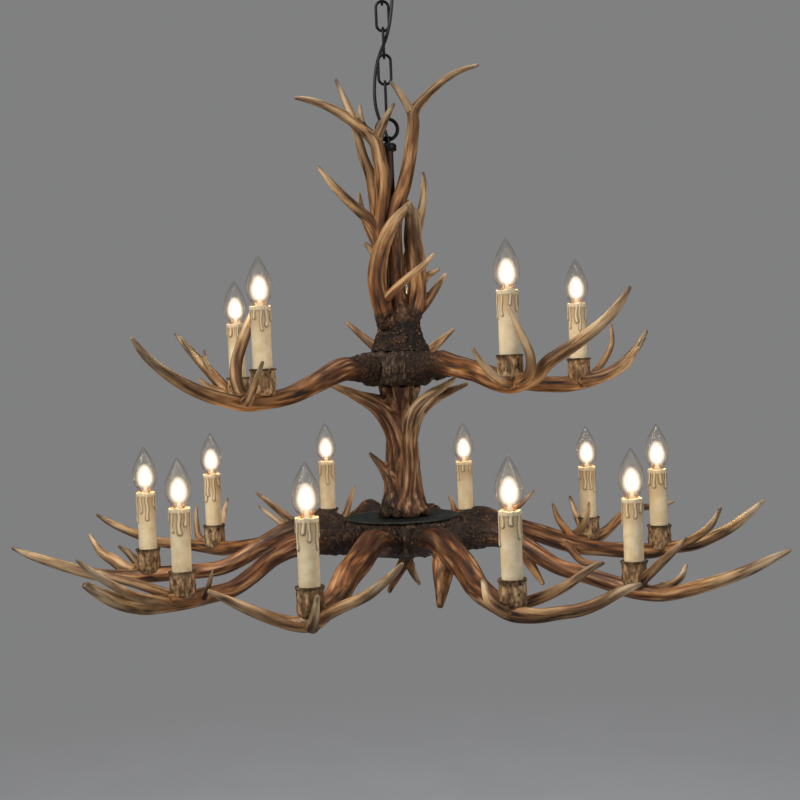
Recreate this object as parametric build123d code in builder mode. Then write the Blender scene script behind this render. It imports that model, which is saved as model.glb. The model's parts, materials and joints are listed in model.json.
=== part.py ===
from build123d import *

import os
from math import cos, pi, radians, sin, tan
from typing import NamedTuple

# Antler ceiling light: two tiers of antler arms round a column, hung on a chain from a canopy.
# The origin is the middle of the ceiling bracket's top face, on the ceiling, with +Z up.
# All sizes are in millimetres. Azimuth 0 points along -Y, and grows towards +X.

os.makedirs("parts", exist_ok=True)

# Ceiling mount
BRACKET_L = 106.0
BRACKET_W = 24.0
BRACKET_T = 3.0
MOUNT_SPACING = 86.0
MOUNT_HOLE_R = 2.4
CANOPY_R = 62.0
CANOPY_H = 40.0
CANOPY_RIM_H = 8.0
CANOPY_SHOULDER_R = 50.0
CANOPY_SHOULDER_H = 20.0
CANOPY_CROWN_R = 30.0
CANOPY_CROWN_H = 5.0
CANOPY_WALL = 1.6
NIPPLE_R = 5.0
THREAD_FIT = 0.1
NUT_R = 9.5
NUT_T = 5.0
COLLAR_R = 11.0
COLLAR_H = 7.0
LOOP_R = 14.0
LOOP_WIRE = 5.0
BLOCK_L = 20.0
BLOCK_W = 20.0
BLOCK_H = 12.0
BLOCK_X = -26.0
BLOCK_WAYS = 3
WAY_R = 2.2
WAY_DEPTH = 6.0
BUSHING_X = 20.0
BUSHING_R = 5.0
BUSHING_L = 8.0
FLANGE_R = 6.5
FLANGE_T = 2.0

# Chain, with its links' outer lengths and width
WIRE = 4.2
LINK_W = 23.0
LINK_L = 48.5
LAST_LINK_L = 66.0
LINK_COUNT = 5
SEAT_GAP = 0.3
LINK_BENDS = 4
RING_BENDS = 5

# Eye ring, cap and central stem
EYE_R = 18.5
EYE_WIRE = 5.5
EYE_COLLAR_R = 5.5
EYE_COLLAR_H = 3.0
EYE_SHANK_R = 4.0
EYE_SHANK_L = 18.0
CAP_R = 13.0
CAP_H = 12.0
CAP_TOP_T = 5.0
STEM_R = 8.0
STEM_WALL = 2.0
STEM_FIT = 0.3

# Tiers of lamps, placed by the rims of the lamps' cups, and the runs from hub to lamp circle that
# the limbs' points are drawn for
UPPER_RIM_DROP = 334.0
TIER_GAP = 265.0
LOWER_LAMP_R = 393.0
UPPER_LAMP_R = 285.0
LOWER_RUN = 308.0
UPPER_RUN = 230.0
LOWER_TURN = 19.2
UPPER_TURN = 30.2

# Hubs, their plates, and the column between and above them
LOWER_HUB_R = 85.0
UPPER_HUB_R = 55.0
HUB_H = 50.0
LOWER_HUB_RISE = 33.0
UPPER_HUB_RISE = 19.0
TOP_PLATE_R = 85.5
BOTTOM_PLATE_R = 60.0
PLATE_T = 3.0
STUMP_H = 46.0
COLUMN_X = 3.0
BOTTOM_NUT_R = 16.0
BOTTOM_NUT_H = 8.0
STEM_TAIL = 2.0

# Antler roots, and the dowels that fasten them
ROOT_DROP = 23.0
ROOT_R = 21.0
BURR_R = 24.0
BURR_L = 8.0
PEDICLE_R = 19.0
PEDICLE_L = 30.0
DOWEL_R = 3.0
DOWEL_REACH = 16.0
DOWEL_FIT = 0.1

# Lamps
CUP_R = 19.3
CUP_H = 28.0
CUP_WAIST_R = 18.0
CUP_TAIL = 9.0
CUP_TAIL_R = 13.0
SLEEVE_R = 15.2
SLEEVE_WALL = 1.7
SLEEVE_RISE = 85.0
SLEEVE_SINK = 6.0
SLEEVE_FIT = 0.3
HOLDER_R = 11.5
HOLDER_DROP = 3.0
BULB_BASE_R = 6.9
BULB_BASE_L = 22.0
BULB_FIT = 0.5
BULB_DROP = 2.0

# Supply cord
CORD_R = 2.5
CORD_END_Y = 9.0

# Flats round each many-sided piece
PLATE_SIDES = 16
COLUMN_SIDES = 10
ROUND_SIDES = 8
BULB_SIDES = 7
HOLDER_SIDES = 6
BAR_SIDES = 8
BEAM_SIDES = 6
TINE_SIDES = 5
DOWEL_SIDES = 5
CORD_SIDES = 5

# Heights worked out from the sizes above
loop_z = -CANOPY_H - COLLAR_H - LOOP_R + LOOP_WIRE / 3
seats = [loop_z - LOOP_R + LOOP_WIRE / 2]
link_lengths = [LINK_L] * (LINK_COUNT - 1) + [LAST_LINK_L]
seat_wires = [LOOP_WIRE] + [WIRE] * (LINK_COUNT - 1)
for length, seat_wire in zip(link_lengths, seat_wires):
    seats.append(seats[-1] + (seat_wire + WIRE) / 2 + SEAT_GAP - length + WIRE)
eye_z = seats[-1] + (WIRE + EYE_WIRE) / 2 + SEAT_GAP - EYE_R + EYE_WIRE / 2
eye_foot_z = eye_z - EYE_R
cap_z = eye_foot_z - EYE_COLLAR_H + EYE_WIRE / 3
stem_z = cap_z - CAP_TOP_T
upper_rim_z = eye_foot_z - UPPER_RIM_DROP
lower_rim_z = upper_rim_z - TIER_GAP
upper_hub_z = upper_rim_z + UPPER_HUB_RISE
lower_hub_z = lower_rim_z + LOWER_HUB_RISE
stump_z = upper_hub_z + STUMP_H
trunk_z = lower_hub_z + PLATE_T
trunk_h = upper_hub_z - HUB_H - trunk_z
nut_z = lower_hub_z - HUB_H - PLATE_T
stem_foot_z = nut_z - BOTTOM_NUT_H - STEM_TAIL
stem_bore_r = STEM_R + STEM_FIT


class Arm(NamedTuple):
    """One antler arm: how far its lamp stands off the tier's circle and height, and its limbs.

    Each limb is a list of (outwards, sideways, up, radius) from the middle of the lamp cup's rim.
    The first is the beam, which also runs in to the hub, and the others are its tines. Points
    between the hub and the lamp spread with the run from one to the other.
    """

    reach: float
    lift: float
    limbs: list


LOWER_ARMS = [
    Arm(10, -2, [
        [(-248, 0, 30, 18), (-154, 0, -6, 16), (-115, 0, -28, 15), (-45, 0, -40, 13), (5, 0, -43, 11),
         (28, 20, -44, 9), (31, 45, -43, 8), (27, 100, -38, 7.5), (21, 138, -27, 6),
         (14, 172, -21, 2.5)],
        [(5, -8, -42, 8), (8, -34, -24, 7), (-10, -36, 1, 2.5)],
        [(-225, 0, 15, 12), (-194, -20, -31, 8), (-179, -31, -60, 2.5)],
        [(-20, 8, -40, 8), (-4, 77, -16, 6), (11, 122, 10, 2)],
    ]),
    Arm(-13, -12, [
        [(-210, 0, 26, 18), (-173, 0, 13, 14), (-118, 0, -15, 11), (-6, 0, -40, 12), (32, 0, -44, 10),
         (53, 0, -42, 9), (125, 0, -19, 8), (161, 0, -4, 7), (217, 0, 25, 2)],
        [(-180, 0, 12, 9), (-140, -3, -42, 2.5)],
        [(5, -2, -38, 8), (42, -22, -4, 6), (102, -60, 43, 2)],
        [(30, 2, -40, 8), (49, 10, -32, 5.5), (60, 20, -21, 4), (65, 25, -5, 1.8)],
    ]),
    Arm(-3, 5, [
        [(-243, 0, 12, 18), (-208, 0, 2, 13), (-124, 0, -28, 12), (-17, 0, -40, 11.5), (52, 0, -33, 9),
         (83, 0, -22, 8.5), (138, 0, 10, 6), (163, 0, 31, 2)],
        [(-126, 4, -26, 8), (-152, 14, 14, 4.5), (-159, 20, 38, 1.8)],
        [(-150, -6, -22, 8), (-142, -20, -26, 6), (-124, -38, -46, 5), (-95, -58, -46, 1.8)],
        [(8, -6, -38, 8), (35, -40, -22, 6.5), (60, -75, 5, 5), (70, -100, 34, 2)],
    ]),
    Arm(2, -8, [
        [(-240, 0, 24, 18), (-204, 0, 16, 14), (-60, 0, -30, 11), (-6, 0, -40, 11.5), (48, 0, -26, 8),
         (83, 0, -6, 7), (130, 0, 2, 6), (175, 0, 0, 5), (215, 0, 4, 2)],
        [(0, 8, -40, 8), (30, 45, -30, 7), (55, 85, -10, 5.5), (66, 112, 22, 2)],
        [(-70, -4, -28, 8), (-60, -30, -18, 6), (-52, -48, 8, 4), (-54, -56, 34, 1.8)],
    ]),
    Arm(0, -2, [
        [(-240, 0, 20, 18), (-155, 0, 0, 12), (-60, 0, -30, 11), (-6, 0, -40, 11.5), (35, 2, -42, 10),
         (80, 10, -36, 9), (125, 22, -20, 8), (165, 34, 4, 6), (195, 42, 30, 2)],
        [(-105, 0, -14, 8), (-93, -2, 10, 5), (-63, 14, 31, 1.8)],
        [(10, -6, -40, 8), (40, -42, -28, 6.5), (62, -80, -6, 5), (70, -112, 24, 2)],
        [(-262, 2, 4, 11), (-286, 30, -46, 7), (-296, 58, -98, 2)],
        [(-286, 30, -48, 6), (-281, 10, -88, 2)],
    ]),
    Arm(13, 8, [
        [(-250, 0, 20, 18), (-160, 0, -2, 12), (-60, 0, -32, 11), (-6, 0, -40, 11.5), (35, -3, -42, 10),
         (80, -12, -38, 9), (120, -26, -24, 8), (160, -42, 0, 6), (190, -54, 28, 2)],
        [(0, 4, -38, 9), (0, 30, -28, 8), (4, 60, -22, 7.5), (24, 126, 36, 2)],
        [(5, 58, -24, 6), (14, 78, -24, 5.5), (44, 117, 8, 1.8)],
        [(-4, -6, -34, 8), (-10, -28, -14, 6), (-6, -49, 37, 1.8)],
    ]),
    Arm(-6, 7, [
        [(-235, 0, 16, 18), (-177, 0, 2, 14), (-104, 0, -27, 11), (-16, 0, -40, 11.5), (22, 4, -38, 10),
         (60, 14, -34, 8.5), (95, 32, -30, 8), (121, 60, -14, 7), (143, 95, 8, 5.5), (147, 125, 27, 2)],
        [(16, 0, -36, 7), (36, 0, -22, 5.5), (38, 0, 30, 1.5)],
        [(0, -8, -38, 8), (30, -45, -24, 6.5), (54, -82, 0, 5), (62, -106, 30, 2)],
    ]),
    Arm(-6, 3, [
        [(-226, 0, 16, 18), (-173, 0, -3, 13), (-111, 0, -34, 11), (29, 0, -42, 10), (77, 0, -37, 9),
         (112, 0, -27, 8), (180, 0, -2, 5), (205, 0, 10, 2)],
        [(14, -4, -36, 9), (33, -8, -32, 9.5), (58, -20, -18, 8.5), (78, -36, -8, 6), (101, -60, 18, 2)],
        [(2, -6, -34, 8), (20, -18, -24, 6.5), (51, -34, 1, 2)],
    ]),
    Arm(-15, 1, [
        [(-184, 0, 13, 17), (-144, 0, 0, 13), (-75, 0, -36, 11.5), (0, 0, -41, 12), (67, 18, -37, 10.5),
         (104, 28, -25, 10), (163, 48, 9, 4)],
        [(30, 14, -36, 7), (94, 38, -15, 5.5), (162, 64, 28, 4), (182, 72, 45, 1.8)],
        [(10, -4, -36, 8), (104, -60, 9, 2)],
        [(-28, 8, -40, 5), (-24, 18, -36, 4), (-30, 30, 0, 1.5)],
    ]),
    Arm(16, 1, [
        [(-254, 0, 27, 18), (-137, 0, -13, 16), (-98, 0, -31, 15), (-40, 0, -42, 13), (0, -4, -46, 12),
         (6, -22, -46, 9), (21, -49, -35, 7.5), (43, -117, 0, 2.5)],
        [(4, 4, -46, 9), (24, 10, -45, 8), (38, 18, -34, 6.5), (54, 30, -2, 2.5)],
        [(0, 8, -42, 8), (6, 42, -25, 7), (23, 81, -7, 6.5), (41, 107, 11, 5.5), (56, 138, 38, 2)],
    ]),
]

UPPER_ARMS = [
    Arm(13, 10, [
        [(-172, 0, -9, 17), (6, 2, -40, 11), (36, 14, -30, 9.5), (52, 24, -12, 9), (118, 70, 41, 6.5),
         (147, 86, 80, 2)],
        [(20, 0, -36, 8), (48, -4, -26, 7), (60, -10, -3, 6), (43, -30, 62, 1.8)],
        [(6, -6, -38, 8), (30, -40, -32, 6.5), (50, -72, -16, 5), (60, -98, 10, 2)],
    ]),
    Arm(5, -2, [
        [(-172, 0, -12, 16), (-90, 0, -34, 11.5), (-22, 0, -40, 12), (12, 0, -37, 10), (46, 0, -27, 9),
         (70, 0, -14, 8), (103, 0, 20, 5), (115, 0, 39, 2)],
        [(10, 3, -36, 8), (42, 10, -10, 5.5), (60, 12, 20, 4), (60, 12, 52, 1.8)],
        [(0, -8, -38, 8), (26, -44, -30, 6.5), (48, -78, -12, 5), (58, -104, 14, 2)],
    ]),
    Arm(0, 0, [
        [(-170, 0, -6, 16), (-90, 0, -28, 12), (-22, 0, -40, 12), (14, 0, -38, 10), (50, 4, -28, 9),
         (82, 10, -10, 8), (110, 16, 14, 6), (130, 20, 44, 2)],
        [(-132, 4, -14, 8), (-136, 24, 8, 6), (-134, 52, 30, 4.5), (-112, 92, 62, 1.8)],
        [(-132, -4, -14, 8), (-136, -24, 6, 6), (-134, -46, 24, 4.5), (-112, -72, 46, 1.8)],
        [(6, 6, -38, 8), (32, 42, -30, 6.5), (52, 76, -12, 5), (60, 100, 16, 2)],
    ]),
    Arm(-8, -11, [
        [(-178, 0, 4, 16), (-76, 0, -34, 12), (-24, 0, -40, 12), (8, 0, -34, 10.5), (114, 0, 75, 2)],
        [(36, 2, -6, 5), (56, 6, 30, 3.5), (57, 6, 47, 1.5)],
        [(14, 4, -28, 6), (58, 26, 1, 2)],
        [(-4, -8, -38, 8), (20, -44, -30, 6.5), (40, -78, -14, 5), (48, -104, 12, 2)],
    ]),
    Arm(-11, 4, [
        [(-157, 0, -7, 17), (-66, 0, -36, 12), (35, 0, -46, 10.5), (97, 0, -32, 9), (141, 0, -14, 8),
         (182, 0, 11, 6), (218, 0, 47, 2)],
        [(30, -2, -42, 7), (37, -8, -29, 6), (24, -27, 5, 5), (-24, -32, 93, 1.8)],
        [(36, 4, -44, 7), (58, 36, -36, 6), (74, 66, -16, 4.5), (80, 88, 10, 2)],
    ]),
]

# The column's antlers: (x, y, up from the stump's top, radius), the first limb being the beam,
# which starts inside the stump and is cut off flush with its top
COLUMN_ANTLERS = {
    "column_antler_left": [
        [(-21, 6, -8, 10), (-22, 4, 73, 10), (-18, -10, 131, 10), (-16, -15, 184, 9.5),
         (-14, -16, 222, 9), (-18, -15, 266, 8), (-28, -10, 281, 7.5), (-68, -8, 313, 6),
         (-88, -8, 325, 5), (-136, -8, 340, 2)],
        [(-42, -8, 294, 6), (-74, 0, 367, 1.8)],
        [(-33, -9, 286, 5), (-39, -6, 305, 4), (-39, -4, 326, 1.6)],
        [(-17, -16, 264, 7), (-12, -19, 280, 6.5), (12, -24, 323, 1.8)],
        [(-18, -12, 133, 8), (-30, -14, 154, 7.5), (-80, -18, 202, 5), (-106, -20, 235, 2)],
    ],
    "column_antler_right": [
        [(9, 23, -8, 10), (5, 22, 133, 9.5), (11, 19, 175, 9), (23, 14, 197, 8.5), (41, -6, 312, 6.5),
         (79, -4, 351, 4.5), (108, -2, 369, 3.5), (141, -2, 379, 2)],
        [(39, -5, 306, 6), (21, -18, 339, 4), (8, -21, 355, 1.8)],
        [(6, 24, 60, 8), (16, 44, 84, 6.5), (28, 62, 116, 4.5), (34, 72, 152, 2)],
    ],
    "column_antler_front": [
        [(-13, -20, -8, 11), (-22, -29, 29, 12.5), (-26, -32, 60, 12), (-22, -34, 87, 11.5),
         (5, -39, 146, 8), (31, -37, 176, 2)],
        [(-18, -30, 24, 7), (-5, -39, 40, 5.5), (62, -41, 97, 1.8)],
    ],
    "column_antler_side": [
        [(22, -11, -8, 11), (35, 0, 46, 12), (35, 0, 95, 12), (33, -3, 150, 10), (26, -8, 180, 3)],
        [(33, -1, 120, 8), (49, 0, 174, 5), (51, 0, 223, 1.8)],
        [(34, -3, 14, 8), (44, 0, 22, 6.5), (80, 0, 69, 2)],
        [(38, 2, 52, 7), (50, 8, 66, 5), (71, 10, 77, 1.8)],
    ],
    "column_antler_back": [
        [(-14, 26, -8, 9), (-19, 21, 140, 8.5), (-28, 13, 222, 7), (-45, 12, 284, 5), (-62, 22, 336, 2)],
        [(-19, 24, 96, 6), (-41, 18, 122, 2)],
        [(-18, 26, 110, 7), (-42, 64, 166, 4.5), (-48, 74, 204, 2)],
    ],
}

# The stump and the trunk, as (up from the foot, radius) without the top, and the trunk's branches
STUMP_LEVELS = [(0, 43), (8, 41), (20, 36), (34, 34)]
STUMP_TOP_R = 34.0
TRUNK_LEVELS = [(0, 38), (13, 37), (30, 30.5), (75, 26), (125, 21.5), (165, 19)]
TRUNK_TOP_R = 28.0
TRUNK_BRANCHES = [
    [(8, -8, 155, 12), (20, -20, 172, 9.5), (36, -36, 182, 7.5), (54, -45, 188, 6), (82, -62, 206, 2.5)],
    [(12, -4, 152, 12), (47, -14, 176, 7), (105, -30, 196, 2.5)],
    [(-4, -4, 156, 12), (-22, -6, 175, 8), (-58, -15, 185, 4.5), (-76, -19, 196, 2.5)],
    [(-6, -6, 150, 12), (-30, -14, 168, 9), (-62, -32, 187, 5.5), (-104, -54, 204, 2.5)],
    [(-4, 0, 48, 12), (-47, -4, 96, 2)],
    [(4, 8, 155, 12), (14, 30, 175, 8), (30, 82, 196, 2.5)],
]

# The bulb's glass, as (up from its neck, radius)
GLASS_LEVELS = [(12, 14.5), (24, 17.5), (39, 15), (56, 7), (71, 1)]

# The supply cord's route from the canopy's bushing, through the chain, to the stem's cap
CORD_ROUTE = [
    (BUSHING_X, 0, -CANOPY_H - FLANGE_T), (20, 0, -58), (18.5, -2.5, -78), (16, -5, -100),
    (13.5, -6.5, -122), (10, -7, -143), (3.5, -2, -164), (-5.5, 5, -180), (-12, 7.5, -199),
    (-15.5, 7.5, -220), (-17, 6.5, -243), (-15.5, 7, -264), (-9, 9, -286), (0, CORD_END_Y, -303),
    (0, CORD_END_Y, cap_z),
]
CORD_RUN_SHARE = 0.45


def heading(azimuth):
    """Give the level direction at an azimuth."""
    return Vector(sin(radians(azimuth)), -cos(radians(azimuth)), 0)


def save(piece, label):
    """Label a finished piece and write its file."""
    piece.part.label = label
    export_step(piece.part, f"parts/{label}.step")


def prism(plane, radius, sides, length, mode=Mode.ADD):
    """Extrude a polygon, its flats at a radius, from a plane."""
    with BuildSketch(plane) as section:
        RegularPolygon(radius, sides, major_radius=False, rotation=180 / sides)
    extrude(section.sketch, amount=length, mode=mode)


def ring(plane, radius, sides):
    """Give the corners of a many-sided section at a radius round a plane's middle."""
    turns = [2 * pi * side / sides for side in range(sides)]
    return [plane.from_local_coords((radius * cos(turn), radius * sin(turn))) for turn in turns]


def skin(rings, mode=Mode.ADD):
    """Close a run of rings, each with as many corners, into a solid with flat facets."""
    faces = [Face(Wire.make_polygon(rings[0][::-1])), Face(Wire.make_polygon(rings[-1]))]
    for near, far in zip(rings, rings[1:]):
        for a, b, c, d in zip(near, near[1:] + near[:1], far[1:] + far[:1], far):
            faces.append(Face(Wire.make_polygon([a, b, c])))
            faces.append(Face(Wire.make_polygon([a, c, d])))
    add(Solid(Shell(faces)), mode=mode)


def turned(foot, levels, sides, mode=Mode.ADD):
    """Raise a many-sided round through its (up, radius) levels above the middle of its foot."""
    skin([ring(Plane(foot + Vector(0, 0, up)), radius, sides) for up, radius in levels], mode)


def limb(points, sides):
    """Grow one limb through many-sided sections at its points, square to the run and untwisted."""
    spots = [Vector(*point[:3]) for point in points]
    runs = [(after - before).normalized() for before, after in zip(spots, spots[1:])]
    normals = [runs[0]] + [(a + b).normalized() for a, b in zip(runs, runs[1:])] + [runs[-1]]
    side = normals[0].cross(Vector(0.31, 0.17, 0.94))
    rings = []
    for spot, normal, point in zip(spots, normals, points):
        side = (side - normal * side.dot(normal)).normalized()
        rings.append(ring(Plane(spot, x_dir=side, z_dir=normal), point[3], sides))
    skin(rings)


def bar_loop(plane, width, length, wire, bends):
    """Bend a many-sided bar into a closed loop of an outer width and length, flat in a plane."""
    radius = (width - wire) / 2
    half_bend = 90 / bends
    corner = radius / cos(radians(half_bend))
    turns = [radians(half_bend * (2 * step + 1)) for step in range(bends)]
    top = [(corner * cos(turn), (length - width) / 2 + corner * sin(turn)) for turn in turns]
    start = plane.from_local_coords((radius, 0))
    with BuildLine(plane) as path:
        Polyline((radius, 0), *top, *[(-x, -y) for x, y in top], close=True)
    with BuildSketch(Plane(start, x_dir=plane.z_dir, z_dir=plane.y_dir)) as bar:
        RegularPolygon(wire / 2, BAR_SIDES, major_radius=False, rotation=180 / BAR_SIDES)
    sweep(bar.sketch, path=path.line, transition=Transition.RIGHT)


def upright(height, edge_on):
    """Give the upright plane for a loop at a height: edge on to the front, or facing it."""
    return Plane((0, 0, height), x_dir=(0, 1, 0), z_dir=(1, 0, 0)) if edge_on else (
        Plane((0, 0, height), x_dir=(1, 0, 0), z_dir=(0, -1, 0)))


# Ceiling bracket, with a hole for each ceiling screw and one for the loop's thread
with BuildPart() as bracket:
    with BuildSketch(Plane.XY.offset(-BRACKET_T)) as outline:
        Rectangle(BRACKET_L, BRACKET_W)
        chamfer(outline.vertices(), BRACKET_W / 4)
        with Locations((-MOUNT_SPACING / 2, 0), (MOUNT_SPACING / 2, 0)):
            Circle(MOUNT_HOLE_R, mode=Mode.SUBTRACT)
    extrude(amount=BRACKET_T)
    prism(Plane.XY, NIPPLE_R + THREAD_FIT, ROUND_SIDES, -BRACKET_T, Mode.SUBTRACT)
save(bracket, "ceiling_bracket")

# Canopy, a spun cup open at the ceiling, with holes for the loop's thread and the cord's bushing
canopy_foot = Vector(0, 0, -CANOPY_H)
bushing_foot = Vector(BUSHING_X, 0, -CANOPY_H)
with BuildPart() as canopy:
    turned(canopy_foot, [
        (0, CANOPY_CROWN_R), (CANOPY_CROWN_H, CANOPY_CROWN_R), (CANOPY_SHOULDER_H, CANOPY_SHOULDER_R),
        (CANOPY_H - CANOPY_RIM_H, CANOPY_R), (CANOPY_H, CANOPY_R),
    ], PLATE_SIDES)
    offset(amount=-CANOPY_WALL, openings=canopy.faces().sort_by(Axis.Z)[-1], kind=Kind.INTERSECTION)
    for middle, radius in (canopy_foot, NIPPLE_R), (bushing_foot, BUSHING_R):
        prism(Plane(middle), radius + THREAD_FIT, ROUND_SIDES, CANOPY_WALL, Mode.SUBTRACT)
save(canopy, "canopy")

# Canopy loop: the ring that carries the chain, its collar, and its threaded shank
collar_foot = canopy_foot - Vector(0, 0, COLLAR_H)
with BuildPart() as canopy_loop:
    bar_loop(upright(loop_z, False), 2 * LOOP_R, 2 * LOOP_R, LOOP_WIRE, RING_BENDS)
    turned(collar_foot, [(0, COLLAR_R - 2), (2, COLLAR_R), (COLLAR_H, COLLAR_R)], ROUND_SIDES)
    turned(collar_foot, [(0, NIPPLE_R), (COLLAR_H + CANOPY_H, NIPPLE_R)], ROUND_SIDES)
save(canopy_loop, "canopy_loop")

# Lock nuts on the loop's thread, one inside the canopy's crown and one under the bracket
with BuildPart() as lock_nuts:
    for foot_z in (-CANOPY_H + CANOPY_WALL, -BRACKET_T - NUT_T):
        prism(Plane.XY.offset(foot_z), NUT_R, 6, NUT_T)
    prism(Plane(canopy_foot), NIPPLE_R + THREAD_FIT, ROUND_SIDES, CANOPY_H, Mode.SUBTRACT)
save(lock_nuts, "lock_nuts")

# Terminal block under the bracket, with a row of ways open below
with BuildPart() as terminal_block:
    with BuildSketch(Plane((BLOCK_X, 0, -BRACKET_T - BLOCK_H))):
        Rectangle(BLOCK_L, BLOCK_W)
    extrude(amount=BLOCK_H)
    with BuildSketch(Plane((BLOCK_X, 0, -BRACKET_T - BLOCK_H))):
        with GridLocations(0, BLOCK_W / BLOCK_WAYS, 1, BLOCK_WAYS):
            RegularPolygon(WAY_R, ROUND_SIDES)
    extrude(amount=WAY_DEPTH, mode=Mode.SUBTRACT)
save(terminal_block, "terminal_block")

# Bushing that lines the cord's way out of the canopy
with BuildPart() as bushing:
    turned(bushing_foot - Vector(0, 0, FLANGE_T), [(0, FLANGE_R), (FLANGE_T, FLANGE_R)], ROUND_SIDES)
    turned(bushing_foot, [(0, BUSHING_R), (BUSHING_L, BUSHING_R)], ROUND_SIDES)
save(bushing, "cord_bushing")

# Chain links, each hanging on the one above and turned a quarter from it
for index, length in enumerate(link_lengths):
    middle_z = seats[index + 1] + (length - WIRE) / 2
    with BuildPart() as link:
        bar_loop(upright(middle_z, index % 2 == 0), LINK_W, length, WIRE, LINK_BENDS)
    save(link, f"chain_link_{index + 1}")

# Eye ring on the last link, with its collar and the shank that screws into the cap
with BuildPart() as eye_ring:
    bar_loop(upright(eye_z, False), 2 * EYE_R, 2 * EYE_R, EYE_WIRE, RING_BENDS)
    turned(Vector(0, 0, cap_z), [(0, EYE_COLLAR_R), (EYE_COLLAR_H, EYE_COLLAR_R)], ROUND_SIDES)
    turned(Vector(0, 0, cap_z - EYE_SHANK_L), [(0, EYE_SHANK_R), (EYE_SHANK_L, EYE_SHANK_R)], ROUND_SIDES)
save(eye_ring, "eye_ring")

# Cap screwed on the stem's top, with the eye ring's thread through it
with BuildPart() as stem_cap:
    turned(Vector(0, 0, cap_z - CAP_H), [(0, CAP_R), (CAP_H, CAP_R)], ROUND_SIDES)
    prism(Plane.XY.offset(cap_z), EYE_SHANK_R + THREAD_FIT, ROUND_SIDES, -CAP_H, Mode.SUBTRACT)
    prism(Plane.XY.offset(stem_z), STEM_R + THREAD_FIT, ROUND_SIDES, CAP_TOP_T - CAP_H, Mode.SUBTRACT)
save(stem_cap, "stem_cap")

# Stem: the tube that carries the whole column from its bottom nut
with BuildPart() as stem:
    prism(Plane.XY.offset(stem_foot_z), STEM_R, ROUND_SIDES, stem_z - stem_foot_z)
    prism(Plane.XY.offset(stem_foot_z), STEM_R - STEM_WALL, ROUND_SIDES, stem_z - stem_foot_z, Mode.SUBTRACT)
save(stem, "stem")

# Hubs: solid blocks with a flat for each arm's root and a dowel hole in each flat
tiers = {
    "lower": (LOWER_ARMS, LOWER_TURN, LOWER_HUB_R, lower_hub_z, LOWER_LAMP_R, lower_rim_z, LOWER_RUN),
    "upper": (UPPER_ARMS, UPPER_TURN, UPPER_HUB_R, upper_hub_z, UPPER_LAMP_R, upper_rim_z, UPPER_RUN),
}
dowel_planes = []
lamps = []
for tier, (arms, turn, hub_r, hub_z, lamp_r, rim_z, run) in tiers.items():
    count = len(arms)
    spread = (lamp_r - hub_r) / run
    azimuths = [turn + 360 / count * index for index in range(count)]
    root_planes = [
        Plane(heading(azimuth) * hub_r + Vector(0, 0, hub_z - ROOT_DROP), z_dir=heading(azimuth))
        for azimuth in azimuths
    ]
    dowel_planes.extend(root_planes)
    with BuildPart() as hub:
        with BuildSketch(Plane.XY.offset(hub_z - HUB_H)):
            RegularPolygon(hub_r, count, major_radius=False, rotation=turn - 90 - 180 / count)
        extrude(amount=HUB_H)
        prism(Plane.XY.offset(hub_z), stem_bore_r, ROUND_SIDES, -HUB_H, Mode.SUBTRACT)
        for root_plane in root_planes:
            prism(root_plane, DOWEL_R + DOWEL_FIT, DOWEL_SIDES, -DOWEL_REACH - DOWEL_FIT, Mode.SUBTRACT)
    save(hub, f"{tier}_hub")

    # Arms: a burr and pedicle at the hub, the beam, its tines, and the cup that the lamp stands in
    for index, (arm, azimuth, root_plane) in enumerate(zip(arms, azimuths, root_planes)):
        out = heading(azimuth)
        rim = out * (lamp_r + arm.reach) + Vector(0, 0, rim_z + arm.lift)
        local = Plane(rim, x_dir=out, z_dir=(0, 0, 1))
        root = [
            (*(root_plane.origin + out * step), radius)
            for step, radius in ((0, ROOT_R), (BURR_L, BURR_R), (PEDICLE_L, PEDICLE_R))
        ]
        with BuildPart() as antler:
            for number, points in enumerate(arm.limbs):
                placed = [
                    (*local.from_local_coords((x * (spread if x < 0 else 1), y, z)), radius)
                    for x, y, z, radius in points
                ]
                limb(placed if number else root + placed, TINE_SIDES if number else BEAM_SIDES)
            turned(rim, [(-CUP_H - CUP_TAIL, CUP_TAIL_R), (-CUP_H / 2, CUP_WAIST_R), (0, CUP_R)], ROUND_SIDES)
            prism(Plane(rim), SLEEVE_R + SLEEVE_FIT, ROUND_SIDES, -SLEEVE_SINK, Mode.SUBTRACT)
            prism(root_plane, DOWEL_R + DOWEL_FIT, DOWEL_SIDES, DOWEL_REACH + DOWEL_FIT, Mode.SUBTRACT)
        save(antler, f"{tier}_arm_{index + 1:02}")
        lamps.append((f"{tier}_bulb_{index + 1:02}", rim))

# Stump on the upper hub, with dowel holes for the column's antlers
column_planes = [
    Plane((limbs[0][0][0], limbs[0][0][1], stump_z)) for limbs in COLUMN_ANTLERS.values()
]
dowel_planes.extend(column_planes)
with BuildPart() as stump:
    turned(Vector(COLUMN_X, 0, upper_hub_z), [*STUMP_LEVELS, (STUMP_H, STUMP_TOP_R)], COLUMN_SIDES)
    prism(Plane.XY.offset(stump_z), stem_bore_r, ROUND_SIDES, -STUMP_H, Mode.SUBTRACT)
    for column_plane in column_planes:
        prism(column_plane, DOWEL_R + DOWEL_FIT, DOWEL_SIDES, -DOWEL_REACH - DOWEL_FIT, Mode.SUBTRACT)
save(stump, "stump")

# Column antlers, standing on the stump round the stem
for (label, limbs), column_plane in zip(COLUMN_ANTLERS.items(), column_planes):
    with BuildPart() as antler:
        for number, points in enumerate(limbs):
            placed = [(x, y, stump_z + up, radius) for x, y, up, radius in points]
            limb(placed, TINE_SIDES if number else BEAM_SIDES)
        split(bisect_by=Plane.XY.offset(stump_z), keep=Keep.TOP)
        prism(column_plane, DOWEL_R + DOWEL_FIT, DOWEL_SIDES, DOWEL_REACH + DOWEL_FIT, Mode.SUBTRACT)
    save(antler, label)

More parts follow.
